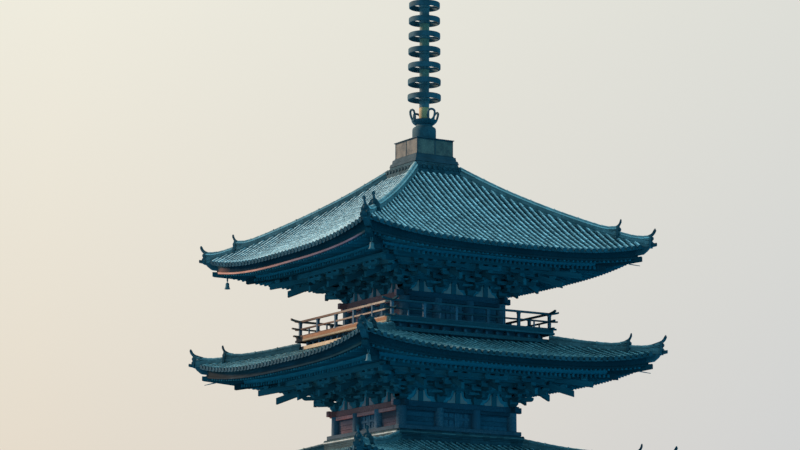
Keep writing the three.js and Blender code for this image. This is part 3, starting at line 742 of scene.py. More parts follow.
STONE = weathered("dressed_granite", FIRED, (0.40, 0.38, 0.35), (0.24, 0.23, 0.21), (0.52, 0.51, 0.47),
                  scale=1.8, stained=0.6, variation=0.3, roughness=(0.75, 0.95), specular=0.3)


# Surfaces that several pieces share
def tile_top(n, half, t):
    """Height of the tiles' top, at a distance out from the axis and t from -1 to 1 along the side."""
    run = 5.10 if n == TOP else 3.90
    at_eave, gain = (0.50, 0.37) if n == TOP else (0.20, 0.234)
    q = min(max((EAVE_HALF[n] - half) / run, -0.06), 1)
    rise = run * (at_eave * q + gain * q * q / 2)
    lift = CORNER_LIFT * (1 - q) * min(abs(t), 1) ** 3
    return TIP_Z[n] - TILE_DROP + TILE_DEPTH + rise + lift


def edge_half(n):
    """Distance from the axis to the eave board's outer face."""
    return EAVE_HALF[n] - EDGE_INSET


def board_z(n):
    """Underside of the eave board in the middle of a side."""
    return TIP_Z[n] - BOARD_DROP


def rafter_lift(n, half, t):
    """Rise of the eaves towards the corners, which starts at the purlin."""
    purlin = COLUMN_LINE[n] + PURLIN_OUT
    share = max(0.0, (half - purlin) / (edge_half(n) - purlin))
    return BOARD_LIFT * share**1.5 * min(abs(t), 1) ** 3


def base_z(n, half):
    """Underside of the base rafters in the middle of a side."""
    return PURLIN_TOP_Z[n] - 0.25 * (half - COLUMN_LINE[n] - PURLIN_OUT)


def flying_z(n, half):
    """Underside of the flying rafters in the middle of a side."""
    return board_z(n) - FLYING_SHOWN + 0.15 * (edge_half(n) - half)


def lifted(n, half, z, lift_half=None):
    """A ring's point that rises towards the corners with the rafters."""
    return half, lambda t: z + rafter_lift(n, lift_half or half, t)


def under_tiles(n, half, drop):
    """A ring's point that stays the same depth below the tiles."""
    return half, lambda t: tile_top(n, half, t) - drop


# Roofs
def tile_place(n, x, low, high, drop_low, drop_high):
    """Place of a tile of unit length that lies up the slope from low to high."""
    a = front(x, low, tile_top(n, low, x / low) - drop_low)
    b = front(x, high, tile_top(n, high, x / high) - drop_high)
    beside = 0.05
    lift = tile_top(n, low, (abs(x) + beside) / low) - tile_top(n, low, abs(x) / low)
    across = Vector((1, 0, math.copysign(lift / beside, x))).normalized()
    along = b - a
    out = across.cross(along).normalized()
    across = along.cross(out).normalized()
    return columns(across, along, out, a)


def make_tiles(n):
    """Rows of cover tiles, of the hollow tiles between them, and of the ends of both along the eave."""
    rows = TILE_ROWS[n]
    eave = EAVE_HALF[n]
    pitch = 2 * eave / rows
    cover_tiles, pan_tiles, eave_tiles, ends = [], [], [], []
    for i in range(2 * rows - 1):
        x = (i - rows + 1) * pitch / 2
        covers = i % 2 == 0
        end = max(abs(x) + 0.05, ROOF_INNER[n])
        if n == TOP - 1:
            end = max(abs(x) + 0.05, SKIRT_HALF)
        if eave - end < 0.08:
            continue
        count = max(1, round((eave - end) / TILE_LENGTH))
        step = (eave - end) / count
        for j in range(count):
            low = eave - j * step
            high = low - step - 0.02
            if covers:
                tiles = cover_tiles if j else eave_tiles
                tiles.append((COVER, tile_place(n, x, low, high, COVER_RADIUS, COVER_RADIUS)))
            else:
                pan_tiles.append((PAN, tile_place(n, x, low, high, 0.096, 0.118)))
        at_edge = tile_place(n, x, eave, eave - 0.3, COVER_RADIUS, COVER_RADIUS)
        square = at_edge.to_3x3().normalized().to_4x4()
        square.translation = at_edge.translation
        if covers:
            ends.append((DISC, square @ Matrix.Translation((0, -0.005, 0)) @ Matrix.Rotation(-0.12, 4, "X")))
        else:
            ends.append((LIP, square @ Matrix.Translation((0, 0, -0.02))))
    return cover_tiles, eave_tiles, pan_tiles, ends


def ridge_height(n, half):
    """Height of the upper hip ridge over the tiles, swept up towards its end."""
    bend = EAVE_HALF[n] - UPPER_RIDGE_END - 0.45
    start = ROOF_INNER[n] + 0.05
    high = 0.05 * max(0.0, 1 - (half - start) / 1.2)
    return 0.21 + high + 0.75 * max(0.0, half - bend) ** 2


RIDGE_CAP = half_round(0.080, 0.070)
CAP_HEIGHT = 0.088
CAP_SEAT = 0.9
COURSE_HEIGHT = 0.058


def ridge_run(points, width=0.25, cap=CAP_HEIGHT):
    """Courses of flat ridge tiles under a round one, through (foot point, height) pairs."""
    courses, caps, mortar = [], [], []
    for (a, tall_a), (b, tall_b) in zip(points, points[1:]):
        across = (b - a).cross(UP).normalized()
        courses.append((BEAM, columns(across * width * 0.85, b - a, UP * 0.16, a - UP * 0.05)))
        body_a = tall_a - cap * CAP_SEAT
        body_b = tall_b - cap * CAP_SEAT
        layers = max(2, round((body_a + body_b) / 2 / COURSE_HEIGHT))
        for k in range(layers):
            share = (k + 0.5) / layers
            low = a + UP * body_a * share
            high = b + UP * body_b * share
            spread = width * (1.08 - 0.20 * share) + (0.014 if k % 2 else 0)
            depth = body_a / layers * (0.80 if k else 1.8)
            kind = courses if k < layers - 1 else mortar
            kind.append((BEAM, columns(across * spread, (high - low) * 0.985, UP * depth, low)))
        along = (b - a + UP * (body_b - body_a)) * 1.02
        caps.append((RIDGE_CAP, columns(across, along, UP, a + UP * body_a)))
    return courses, caps, mortar


def ridge_straps(points, every):
    """Thin ties over the round tiles, one for every few of them."""
    straps = []
    for (a, tall_a), (b, tall_b) in list(zip(points, points[1:]))[every::every]:
        across = (b - a).cross(UP).normalized()
        foot = a + UP * (tall_a - CAP_HEIGHT * CAP_SEAT + 0.004)
        straps.append((STRAP, columns(across, (b - a).normalized() * 0.03, UP, foot)))
    return straps


def steps_between(start, end, length):
    count = max(1, round(abs(end - start) / length))
    return [start + (end - start) * i / count for i in range(count + 1)]


def end_pieces(half, foot, tall, scale, reach):
    """Ornament tile that closes a hip ridge, and the horn over it."""
    outward = Vector((-1, -1, 0)).normalized()
    across = Vector((1, -1, 0)).normalized()
    at = hip(half, foot)
    face = columns(across * scale, outward * -1, UP * tall / 0.37, at + outward * 0.02 + UP * 0.02)
    ornament = [(ORNAMENT, face)]
    for beside, above, size in ((0, 0.62, 0.85), (-0.13, 0.16, 0.62), (0.13, 0.16, 0.62)):
        centre = at + outward * 0.075 + across * beside * scale + UP * tall * above
        ornament.append((BOSS, columns(across * size, outward * -size, UP * size, centre)))
    horn = columns(-across, outward * reach, UP, at - outward * 0.02 + UP * (tall - 0.05))
    tip = at + outward * (0.14 * reach - 0.02) + UP * (tall + 0.165)
    horns = [(HORN, horn), (DISC, columns(across * 0.78, outward * -1, UP * 0.84, tip))]
    return ornament, horns


def make_ridges(n):
    """Hip ridges in two steps with the ties over them, and the ornaments and horns at their ends."""
    eave = EAVE_HALF[n]
    start = 3.40 if n == TOP - 1 else ROOF_INNER[n] + 0.05
    upper_end = eave - UPPER_RIDGE_END
    lower_end = eave + 0.05
    bed = 0.04

    def foot(half):
        return tile_top(n, half, 1) - bed

    def lower_height(half):
        return 0.17 + bed + 0.5 * max(0.0, half - upper_end - 0.3) ** 2

    upper = [(hip(h, foot(h)), ridge_height(n, h) + bed) for h in steps_between(start, upper_end, 0.21)]
    lower = [(hip(h, foot(h)), lower_height(h)) for h in steps_between(upper_end - 0.1, lower_end, 0.16)]
    courses, caps, mortar = ridge_run(upper)
    low_courses, low_caps, low_mortar = ridge_run(lower, width=0.22)
    ends, horns = end_pieces(upper_end, foot(upper_end), upper[-1][1], 0.95, 1.0)
    low_ends, low_horns = end_pieces(lower_end, foot(lower_end), lower[-1][1], 0.70, 1.45)
    straps = ridge_straps(upper, 3)
    return (courses + low_courses, caps + low_caps, mortar + low_mortar, straps, ends + low_ends,
            horns + low_horns)


def make_corner_tip(n):
    """Tongue under the last ridge tile with its roll, and the filling between it and the eave board."""
    eave = EAVE_HALF[n]
    tip = TIP_Z[n]
    tongue = blade([(eave - 0.40, tip - 0.26), (eave + 0.215, tip - 0.075), (eave + 0.215, tip - 0.01),
                    (eave - 0.40, tip + 0.02)], 0.085)
    low, high = hip(eave - 0.2, tip - 0.07), hip(eave + 0.225, tip - 0.02)
    across = (high - low).cross(UP).normalized()
    roll = columns(across * 0.062, high - low, UP * 0.062, low)
    filling = blade([(eave - 0.50, tip - 0.45), (eave - 0.13, tip - 0.37), (eave - 0.02, tip - 0.24),
                     (eave + 0.06, tip - 0.10), (eave - 0.50, tip - 0.10)], 0.10)
    return [(tongue, Matrix()), (ROD, roll), (filling, Matrix())]


def make_wall_flashing(n):
    """Ridge course where a lean-to roof meets the storey above."""
    out = COLUMN_LINE[n + 1] + 0.30
    foot = tile_top(n, out, 0) - 0.05
    tall = SILL_Z[n + 1] - foot - 0.005
    points = [(front(x, out, foot), tall) for x in steps_between(-out, out, 0.3)]
    return ridge_run(points, width=0.2)


def make_spire_foot():
    """Ridge courses round the spire's base, with round tile ends."""
    courses = []
    for out, foot, top in ((1.00, 26.93, 27.25), (0.90, 27.15, 27.345)):
        points = [(front(x, out, foot), top - foot) for x in steps_between(-out, out, 0.26)]
        for made in ridge_run(points, width=0.2, cap=0.07):
            courses += made
    for x in steps_between(-0.90, 0.90, 0.225):
        courses.append((DISC, put(front(x, 1.11, 27.12), size=(0.85, 1, 0.85))))
    return courses


def make_roof_boards(n):
    """Bedding and roof boards between the tiles and the rafters, closed against the wall."""
    c = COLUMN_LINE[n]
    wall = c + WALL_OUT
    edge = edge_half(n)
    inner = ROOF_INNER[n]
    outer = edge + 0.10
    bracket_top = TIP_Z[n] - 0.30
    section = [under_tiles(n, outer, 0.175)]
    section += [under_tiles(n, outer + (inner - outer) * i / 7, 0.155) for i in range(8)]
    if n == TOP:
        section += [under_tiles(n, half, 0.41) for half in (inner, 1.55, wall)]
    elif n == TOP - 1:
        ledge = tile_top(n, inner, 0) - 0.36
        section += [(inner - 0.001, ledge), (wall, ledge)]
    else:
        section += [under_tiles(n, inner, 0.36), (wall, bracket_top + 0.2)]
    for half in (wall, c + PURLIN_OUT, c + BASE_TIP_OUT):
        section.append(lifted(n, half, base_z(n, half) + RAFTER_DEPTH))
    section.append(lifted(n, c + FLYING_OUT, flying_z(n, c + FLYING_OUT) + RAFTER_DEPTH))
    section.append(lifted(n, edge - 0.10, board_z(n) - 0.03 + RAFTER_DEPTH))
    section.append(under_tiles(n, edge - 0.10, 0.175))
    return [(ring(section), Matrix())]


def make_eave_edge(n):
    """Eave board that the rafter tips carry."""
    edge = edge_half(n)
    low = board_z(n)
    high = low + BOARD_THICKNESS
    inner = edge - BOARD_WIDTH
    corners = ((inner, low), (edge, low), (edge, high), (inner, high))
    return [(ring([lifted(n, half, z, edge) for half, z in corners]), Matrix())]


def make_eave_filling(n):
    """Boards above the eave board, which thicken towards the corners up to the tiles."""
    edge = edge_half(n)
    low = board_z(n) + BOARD_THICKNESS + 0.002
    section = [lifted(n, half, low, edge) for half in (edge - BOARD_WIDTH, edge - 0.03)]
    section += [under_tiles(n, half, drop) for half, drop in (
        (edge + 0.02, 0.20), (edge + 0.12, 0.17), (edge + 0.12, 0.14), (edge - BOARD_WIDTH, 0.14),
    )]
    return [(ring(section), Matrix())]


def make_rafters(n):
    """Base rafters, and the slimmer flying rafters that run out over them."""
    c = COLUMN_LINE[n]
    edge = edge_half(n)
    copies = []
    count = int(edge / RAFTER_PITCH)
    for i in range(-count, count + 1):
        x = i * RAFTER_PITCH
        for width, near, far, height in (
            (0.090, c + WALL_OUT - 0.1, c + BASE_TIP_OUT + 0.09, base_z),
            (0.078, c + FLYING_OUT - 0.22, edge - 0.085, flying_z),
        ):
            near = max(near, abs(x) + 0.02)
            if far - near < 0.1:
                continue
            ends = [
                front(x, half, height(n, half) + rafter_lift(n, half, x / half) + RAFTER_DEPTH / 2)
                for half in (near, far)
            ]
            copies.append((BEAM, between(*ends, width, RAFTER_DEPTH)))
    return copies


def make_rafter_beam(n):
    """Beam on the base rafters' tips that carries the flying rafters."""
    out = COLUMN_LINE[n] + BASE_TIP_OUT
    low = base_z(n, out) + RAFTER_DEPTH - 0.01
    high = flying_z(n, out) + 0.02
    inner = out - 0.13
    section = [lifted(n, half, z, out) for half, z in ((inner, low), (out, low), (out, high), (inner, high))]
    return [(ring(section), Matrix())]


def make_hip_rafters(n):
    """Base and flying rafters on the near corner's diagonal."""
    c = COLUMN_LINE[n]
    tip = TIP_Z[n]
    purlin = c + PURLIN_OUT
    base_tip = c + BASE_TIP_OUT
    low = base_z(n, base_tip)
    end = EAVE_HALF[n] - 0.175
    base = [(c, base_z(n, c) - 0.05), (purlin, PURLIN_TOP_Z[n] - 0.06), (base_tip + 0.20, low + 0.03),
            (base_tip + 0.20, low + 0.23), (c, base_z(n, c) + 0.25)]
    flying = [(base_tip - 0.3, low + 0.22), (base_tip + 0.06, low + 0.16), (end, tip - 0.635),
              (end, tip - 0.465), (base_tip - 0.3, low + 0.42)]
    return [(blade(base, 0.115), Matrix()), (blade(flying, 0.105), Matrix())]


# Brackets
STEP = 0.47
PURLIN_STEP = 1.40
TAIL_HALF_DEPTH = 0.115
TAIL_TIP_HEIGHT = 0.33
TAIL_SLOPE = 0.47
TAIL_REACH = 1.73


def bracket_lift(n):
    """Finds heights over the head beams, with the sets' height of 1.15 fitted to the storey's."""
    stretch = (PURLIN_TOP_Z[n] - HEAD_Z[n]) / 1.15
    return stretch, lambda height: HEAD_Z[n] + height * stretch


def make_brackets(n):
    """Three-step bracket sets: bearing blocks, arms, sloping tail rafters and the beams they carry."""
    c = COLUMN_LINE[n]
    stretch, lift = bracket_lift(n)
    copies = []

    def arm(form, x, out, h, turn):
        copies.append((form, put(front(x, c + out, lift(h)), turn, (1, 1, stretch))))

    def bearing(x, out, h, tall=0.11, size=0.20, turn=0.0):
        copies.append((BEARING, put(front(x, c + out, lift(h)), turn, (size, size, tall * stretch))))

    def beam(out, low, high, thick, reach):
        a = front(-c - reach, c + out, lift((low + high) / 2))
        b = front(c + reach, c + out, lift((low + high) / 2))
        copies.append((BEAM, between(a, b, thick, (high - low) * stretch)))

    def tail(place, near, far, depth, width):
        """A sloping timber through (out, height) pairs, at place(out, z)."""
        ends = [place(c + out, lift(height)) for out, height in (near, far)]
        copies.append((BEAM, between(*ends, width, depth * stretch)))

    tail_root = (-0.1, TAIL_TIP_HEIGHT + TAIL_SLOPE * TAIL_REACH + TAIL_HALF_DEPTH)
    tail_tip = (1.665, TAIL_TIP_HEIGHT + TAIL_HALF_DEPTH)
    for place in (-1, -1 / 3, 1 / 3, 1):
        x = place * c
        at_corner = abs(place) == 1
        inward = -math.copysign(1, place)
        bearing(x, 0, 0, 0.26, 0.37)
        arm(ARM, x, 0.08, 0.20, 0)
        if not at_corner:
            arm(ARM, x, 0, 0.20, QUARTER)
        for side in (-1, 1):
            if not at_corner or side == inward:
                bearing(x + side * 0.42, 0, 0.34)
        bearing(x, STEP, 0.34)
        arm(ARM_LONG, x, 0.40, 0.45, 0)
        arm(ARM, x, STEP, 0.45, QUARTER)
        bearing(x, 2 * STEP, 0.59, 0.09)
        for side in (-1, 1):
            bearing(x + side * 0.42, STEP, 0.59, 0.09)
            bearing(x + side * 0.30, 2 * STEP, 0.68, 0.09)
        arm(ARM_SHORT, x, 2 * STEP, 0.55, QUARTER)
        tail(lambda out, z: front(x, out, z), tail_root, tail_tip, 2 * TAIL_HALF_DEPTH, 0.13)
        bearing(x, PURLIN_STEP, 0.66, 0.12)
        arm(ARM, x, PURLIN_STEP, 0.77, QUARTER)
        for offset in (-0.40, 0, 0.40):
            bearing(x + offset, PURLIN_STEP, 0.90, 0.08)
    for out, low, high, thick, reach in (
        (0.0, 0.45, 0.58, 0.124, 0.05), (0.0, 0.68, 0.80, 0.124, 0.05), (0.0, 0.92, 1.04, 0.124, 0.05),
        (STEP, 0.68, 0.80, 0.11, 0.75), (2 * STEP, 0.77, 0.89, 0.11, 1.20),
        (PURLIN_STEP, 0.97, 1.15, 0.19, 1.72),
    ):
        beam(out, low, high, thick, reach)
    for place in (-2 / 3, 0, 2 / 3):
        copies.append((STRUT, put(front(place * c, c, HEAD_Z[n]), 0, (1, 1, 0.35 * stretch))))
        bearing(place * c, 0, 0.34)
    # Diagonal set at the near corner
    diagonal = -QUARTER / 2
    for form, half, h in ((ARM, 0.18, 0.20), (ARM_LONG, 0.42, 0.45)):
        copies.append((form, put(hip(c + half, lift(h)), diagonal, (1, 1.15, stretch))))
    for half, h, tall in ((STEP, 0.34, 0.11), (2 * STEP, 0.59, 0.09), (PURLIN_STEP, 0.66, 0.12)):
        copies.append((BEARING, put(hip(c + half, lift(h)), diagonal, (0.22, 0.22, tall * stretch))))
    tail(hip, tail_root, tail_tip, 2 * TAIL_HALF_DEPTH, 0.15)
    tail(hip, (0.9, 1.03), (2.17, 0.755), 0.20, 0.15)
    copies.append((BEARING, put(hip(c + 1.95, lift(0.90)), diagonal, (0.20, 0.20, 0.12 * stretch))))
    return copies


STRUT = block(0.20, 0.12, 1.0, 0, at=(0, 0, 0.5))


def make_bracket_wall(n):
    """Boarded wall behind the brackets, the plaster beside the mid-bay struts, and the soffit boards."""
    c = COLUMN_LINE[n]
    stretch, lift = bracket_lift(n)
    wall = square_ring(c + 0.01, c - 0.14, HEAD_Z[n], TIP_Z[n] - 0.30)
    soffit = square_ring(c + 0.90, c + 0.02, lift(0.80), lift(0.825))
    boards = ((0.96, 0.84), (1.34, 0.99), (1.34, 1.02), (0.96, 0.87))
    slope = ring([(c + out, lift(height)) for out, height in boards], parts=1)
    outline = [(0.09, 0), (0.43, 0), (0.41, 0.07), (0.29, 0.13), (0.20, 0.25), (0.15, 0.40), (0.09, 0.40)]
    right = plate(outline, 0.03)
    left = plate([(-x, z) for x, z in outline], 0.03)
    plaster = []
    for place in (-2 / 3, 0, 2 / 3):
        for form in (right, left):
            plaster.append((form, put(front(place * c, c + 0.02, HEAD_Z[n]), size=(1, 1, stretch))))
    return [(wall, Matrix()), (soffit, Matrix()), (slope, Matrix())], plaster


# Storeys
def column_form(tall):
    """Round column, a little slimmer at its head."""
    bm = bmesh.new()
    bmesh.ops.create_cone(bm, cap_ends=True, segments=22, radius1=COLUMN_RADIUS, radius2=COLUMN_RADIUS * 0.96,
                          depth=tall)
    bmesh.ops.translate(bm, vec=(0, 0, tall / 2), verts=bm.verts)
    return Form(bm)


def make_frame(n):
    """Columns, sill, head beams with crossing noses, and rails between."""
    c = COLUMN_LINE[n]
    sill, sill_top, head = SILL_Z[n], SILL_TOP_Z[n], HEAD_Z[n]
    beam_foot = head - HEAD_BEAM
    column = column_form(beam_foot - sill)
    copies = [(column, put(front(place * c, c, sill))) for place in (-1, -1 / 3, 1 / 3)]
    beams = [(block(2 * (c + 0.40), 0.16, HEAD_BEAM, 0.012), put(front(0, c, head - HEAD_BEAM / 2)))]
    wide, deep = c + 0.268, 0.34
    sill_bar = block(2 * wide - deep, deep, sill_top - sill, 0.015)
    copies.append((sill_bar, put(front(-deep / 2, wide - deep / 2, (sill + sill_top) / 2))))
    ground_rails = [(head - 0.30, 0.16), (3.62, 0.18), (sill_top + 0.10, 0.20)]
    rails = [(beam_foot - 0.075, 0.13)] if n else ground_rails
    for z, tall in rails:
        beams.append((block(2 * c, 0.10, tall, 0.010), put(front(0, c + 0.06, z))))
    return copies, beams


def bay_boards(c):
    """The two side bays of a wall, as lowest and highest x."""
    return ((-c + COLUMN_RADIUS, -c / 3 - COLUMN_RADIUS), (c / 3 + COLUMN_RADIUS, c - COLUMN_RADIUS))


def make_walls(n):
    """Horizontal boards in the side bays."""
    c = COLUMN_LINE[n]
    low, high = SILL_TOP_Z[n], HEAD_Z[n] - HEAD_BEAM
    courses = max(4, round((high - low) / 0.19))
    tall = (high - low) / courses
    copies = []
    for x0, x1 in bay_boards(c):
        board = block(x1 - x0 + 0.10, 0.11, tall - 0.006, 0.007)
        for k in range(courses):
            shift = 0.004 * ((k * 7) % 3)
            copies.append((board, put(front((x0 + x1) / 2, c - 0.075 + shift, low + tall * (k + 0.5)))))
    if n:
        base = TIP_Z[n - 1] - 0.30
        copies.append((square_ring(c - 0.02, c - 0.14, base, SILL_Z[n]), Matrix()))
        ledge = square_ring(COLUMN_LINE[n - 1] + WALL_OUT, c - 0.14, base, base + 0.15)
        copies.append((ledge, Matrix()))
    return copies


def make_doors(n):
    """Double doors with rails, stiles and let-in panels."""
    c = COLUMN_LINE[n]
    low, high = SILL_TOP_Z[n] + 0.003, HEAD_Z[n] - 0.215
    half = c / 3 - COLUMN_RADIUS + 0.03
    tall = high - low
    face = c - 0.05
    leaf = half - 0.004
    stile = 0.09
    panels = 2 if n else 4
    copies = []

    def add(width, deep, height, wear, x, out, z):
        copies.append((block(width, deep, height, wear), put(front(x, out, z))))

    for side in (-1, 1):
        middle = side * half / 2
        centre = low + tall / 2
        add(leaf, 0.035, tall, 0.003, middle, face - 0.03, centre)
        for x in (middle - leaf / 2 + stile / 2, middle + leaf / 2 - stile / 2):
            add(stile, 0.055, tall, 0.006, x, face, centre)
        for k in range(panels + 1):
            add(leaf - 2 * stile, 0.055, 0.10, 0.006, middle, face, low + 0.05 + (tall - 0.10) * k / panels)
        add(0.05, 0.050, tall - 0.1, 0.006, middle, face - 0.004, centre)
    threshold = square_ring(c - 0.14, c - 0.26, SILL_TOP_Z[n] - 0.10, SILL_TOP_Z[n] + 0.05)
    return copies, (threshold, Matrix())


# Balcony
def make_balcony():
    """Deck boards, the skirt below them and the short joists."""
    copies = []
    inner = COLUMN_LINE[TOP] + 0.27
    width = (BALCONY_HALF - 0.12 - inner) / 5
    for k in range(5):
        out = inner + width * (k + 0.5)
        board = block(2 * out, width - 0.006, 0.08, 0.006)
        copies.append((board, put(front(-width / 2, out, DECK_TOP - 0.04))))
    skirt = block(2 * SKIRT_HALF - 0.10, 0.10, 0.90, 0.01)
    copies.append((skirt, put(front(-0.05, SKIRT_HALF - 0.05, DECK_TOP - 0.53))))
    joist = block(0.10, 0.24, 0.13, 0.01)
    for x in steps_between(-3.0, 3.0, 0.46):
        copies.append((joist, put(front(x, SKIRT_HALF + 0.08, DECK_TOP - 0.305))))
    return copies


def edge_board(half, thick, high, low):
    """A board along one side that overlaps the next at the corner, and its place."""
    place = put(front(-thick / 2, half - thick / 2, (high + low) / 2))
    return block(2 * half - thick, thick, high - low, 0.012), place


def make_balcony_lips():
    """Lip under the deck's edge board, and the band below the joists."""
    return [edge_board(BALCONY_HALF, 0.13, DECK_TOP - 0.15, DECK_TOP - 0.23),
            edge_board(3.42, 0.12, DECK_TOP - 0.39, DECK_TOP - 0.53)]


def rail_form(reach, width, depth, bend):
    """Handrail whose ends curve up past the corners."""
    bm = bmesh.new()
    bmesh.ops.create_cube(bm, size=1)
    bmesh.ops.scale(bm, vec=(2 * reach, width, depth), verts=bm.verts)
    start = RAIL_HALF - 0.1
    for k in range(1, 8):
        for sign in (-1, 1):
            cut = (sign * (start + 0.06 * k), 0, 0)
            bmesh.ops.bisect_plane(bm, geom=everything(bm), plane_co=cut, plane_no=(1, 0, 0))
    for v in bm.verts:
        past = max(0.0, abs(v.co.x) - start)
        v.co.z += bend * past * past
    return Form(bm)


def make_railing():
    """Three rails a side, and the posts and struts between them."""
    half = RAIL_HALF
    rails, posts = [], []
    for z, width, depth, past, bend in (
        (20.99, 0.09, 0.06, 0.30, 0.0), (21.26, 0.08, 0.055, 0.36, 0.10), (21.55, 0.075, 0.075, 0.41, 0.30),
    ):
        rails.append((rail_form(half + past, width, depth, bend), put(front(0, half, z))))
    post = block(0.105, 0.105, 0.52, 0.008)
    for x in steps_between(-half, half, 2 * half / 5)[:-1]:
        posts.append((post, put(front(x, half, DECK_TOP + 0.26))))
        posts.append((BEARING, put(front(x, half, 21.43), 0, (0.12, 0.12, 0.085))))
    strut = block(0.05, 0.05, 0.24, 0.005)
    for x in steps_between(-half, half, half / 5):
        posts.append((strut, put(front(x, half, 21.13))))
    return rails, posts


# Podium
def make_podium():
    """Courses of dressed stone round a core, paving on top, and a flight of steps on each side."""
    copies = []
    half, top = 4.65, 1.15
    rows = ((0.0, 0.22, 4.85, 1.20), (0.22, 0.585, 4.66, 0.95), (0.585, 0.95, 4.64, 0.95), (0.95, top, 4.80, 1.25))
    for low, high, out, long in rows:
        count = round(2 * out / long)
        length = (2 * out - 0.5) / count
        stone = block(length - 0.012, 0.5, high - low - 0.008, 0.015)
        for k in range(count):
            x = -out + length * (k + 0.5)
            copies.append((stone, put(front(x, out - 0.25, (low + high) / 2))))
    copies.append((block(4.4, 4.4, top - 0.01, 0.01), put(front(0, 0, top / 2 - 0.005))))
    slab = 0.75
    paver = block(slab - 0.01, slab - 0.01, 0.10, 0.008)
    for out in (3.92, 3.17, 2.42):
        for k in range(round(2 * out / slab)):
            x = -out + slab * k
            if x < out - 0.30:
                copies.append((paver, put(front(x, out, top - 0.055))))
    copies_once = [(square_ring(4.36, 2.0, 0.05, 1.05), Matrix())]
    steps = 5
    height = top / steps
    for i in range(steps):
        out = half + 0.3 * (steps - i)
        for k in (-1, 0, 1):
            step = block(0.63, 0.36, height - 0.006, 0.012)
            copies.append((step, put(front(k * 0.64, out - 0.18, height * (i + 0.5)))))
        if i:
            fill = block(1.9, out - half + 0.2, height, 0)
            copies.append((fill, put(front(0, half + (out - half) / 2 - 0.15, height * (i - 0.5)))))
    cheek = plate([(0.0, 0.0), (1.6, 0.0), (1.6, 0.25), (0.15, top), (0.0, top)], 0.30)
    for x in (-1.1, 1.1):
        copies.append((cheek, put(front(x, half, 0), -QUARTER)))
    return copies, copies_once


# Spire
def make_dew_basin():
    """Bronze-clad box under the spire: two sheets a side, a plinth course, a step and a lid."""
    half = 0.79
    middle, tall = 27.965, 0.61
    sheet = block(half - 0.006, 0.05, tall, 0.008)
    seam = block(0.040, 0.02, tall, 0.004)
    sheets, plinth = [], []
    for k in (0, 1):
        sheets.append((sheet, put(front(-half / 2 + k * half, half - 0.025, middle))))
    for x in (-half + 0.02, 0.0):
        plinth.append((seam, put(front(x, half + 0.003, middle))))
    for z, thick, out in ((27.655, 0.05, 0.030), (28.255, 0.04, 0.014)):
        band = block(2 * (half + out) - 0.06, 0.06, thick, 0.008)
        plinth.append((band, put(front(-0.03, half + out - 0.03, z))))
    lid = ring([(0.835, 28.275), (0.835, 28.300), (0.5, 28.36), (0.05, 28.36), (0.05, 28.275)], parts=2)
    core = square_ring(0.76, 0.05, 27.40, 28.28)
    foot = [(0.96, 27.35), (0.93, 27.47), (0.885, 27.50), (0.87, 27.63), (0.05, 27.63), (0.05, 27.35)]
    return sheets, plinth, [(lid, Matrix()), (core, Matrix()), (ring(foot, parts=1), Matrix())]


def make_bowl():
    """Upturned bowl with upright sides and a broad neck."""
    side = [(0, 0), (0.440, 0), (0.452, 0.03), (0.454, 0.38), (0.450, 0.46), (0.436, 0.515), (0.400, 0.55)]
    neck = [(0.345, 0.565), (0.325, 0.60), (0.320, 0.67), (0.30, 0.69), (0, 0.69)]
    return [(turned([(radius, BOWL_FOOT + up) for radius, up in side + neck], 40), Matrix())]


def make_lotus():
    """Open cup, with four petals that are bent from a round bar into upright loops."""
    cup = [(0, 28.97), (0.32, 28.95), (0.37, 28.97), (0.43, 29.02), (0.475, 29.08), (0.485, 29.13),
           (0.465, 29.135), (0.42, 29.07), (0.30, 29.03), (0, 29.02)]
    copies = [(turned(cup, 32), Matrix())]
    loop = ((0, 29.08), (0.09, 29.13), (0.135, 29.22), (0.15, 29.34), (0.13, 29.44), (0.06, 29.485), (0, 29.49))
    foot = loop[0][1]
    for side in (-1, 1):
        points = [(side * beside, -0.455 - 0.24 * (z - foot), z) for beside, z in loop]
        half_petal = swept(points, [0.044] * len(points))
        for k in range(4):
            copies.append((half_petal, put((0, 0, 0), k * QUARTER)))
    return copies


def tube(low, high, radius):
    """A collar round the mast."""
    inner, wear = 0.15, 0.006
    profile = [(inner, low), (radius - wear, low), (radius, low + 0.015), (radius, high - 0.015),
               (radius - wear, high), (inner, high), (inner, low)]
    return turned(profile, 28), Matrix()


def ring_section(z, inner, radius):
    """Half of the open ring's section, its edges worn, is mirrored about z."""
    upper = [(radius + 0.005, 0), (radius, 0.09), (radius - 0.014, 0.105), (inner + 0.010, 0.105), (inner, 0.09)]
    lower = [(out, -up) for out, up in reversed(upper[1:])]
    return [(out, z + up) for out, up in lower + upper + lower[:1]]


def make_mast():
    """Mast with collars and nine open rings on spokes, and the sleeves that have weathered pale."""
    rings, dark, pale, worn = [], [], [], []
    mast = 0.174
    dark.append((turned([(0, 29.05), (mast, 29.05), (mast, SHAFT_TOP), (0, SHAFT_TOP)], 28), Matrix()))
    pale.append(tube(29.20, 29.62, 0.200))
    dark.append(tube(29.63, 29.88, 0.190))
    for i in range(RINGS):
        z = FIRST_RING_Z + RING_PITCH * i
        radius = 0.635 - 0.060 * i / (RINGS - 1)
        inner = radius - 0.045
        rings.append((turned(ring_section(z, inner, radius), 40), Matrix()))
        for k in range(4):
            spoke = put((0, 0, z), k * QUARTER, (0.030, inner + 0.02, 0.045))
            rings.append((BEAM, spoke))
        dark.append(tube(z - 0.10, z + 0.10, 0.205))
        if i < RINGS - 1:
            sleeves = worn if i in WORN_SLEEVES else dark
            sleeves.append(tube(z + 0.115, z + 0.486, 0.186))
    return rings, dark, pale, worn


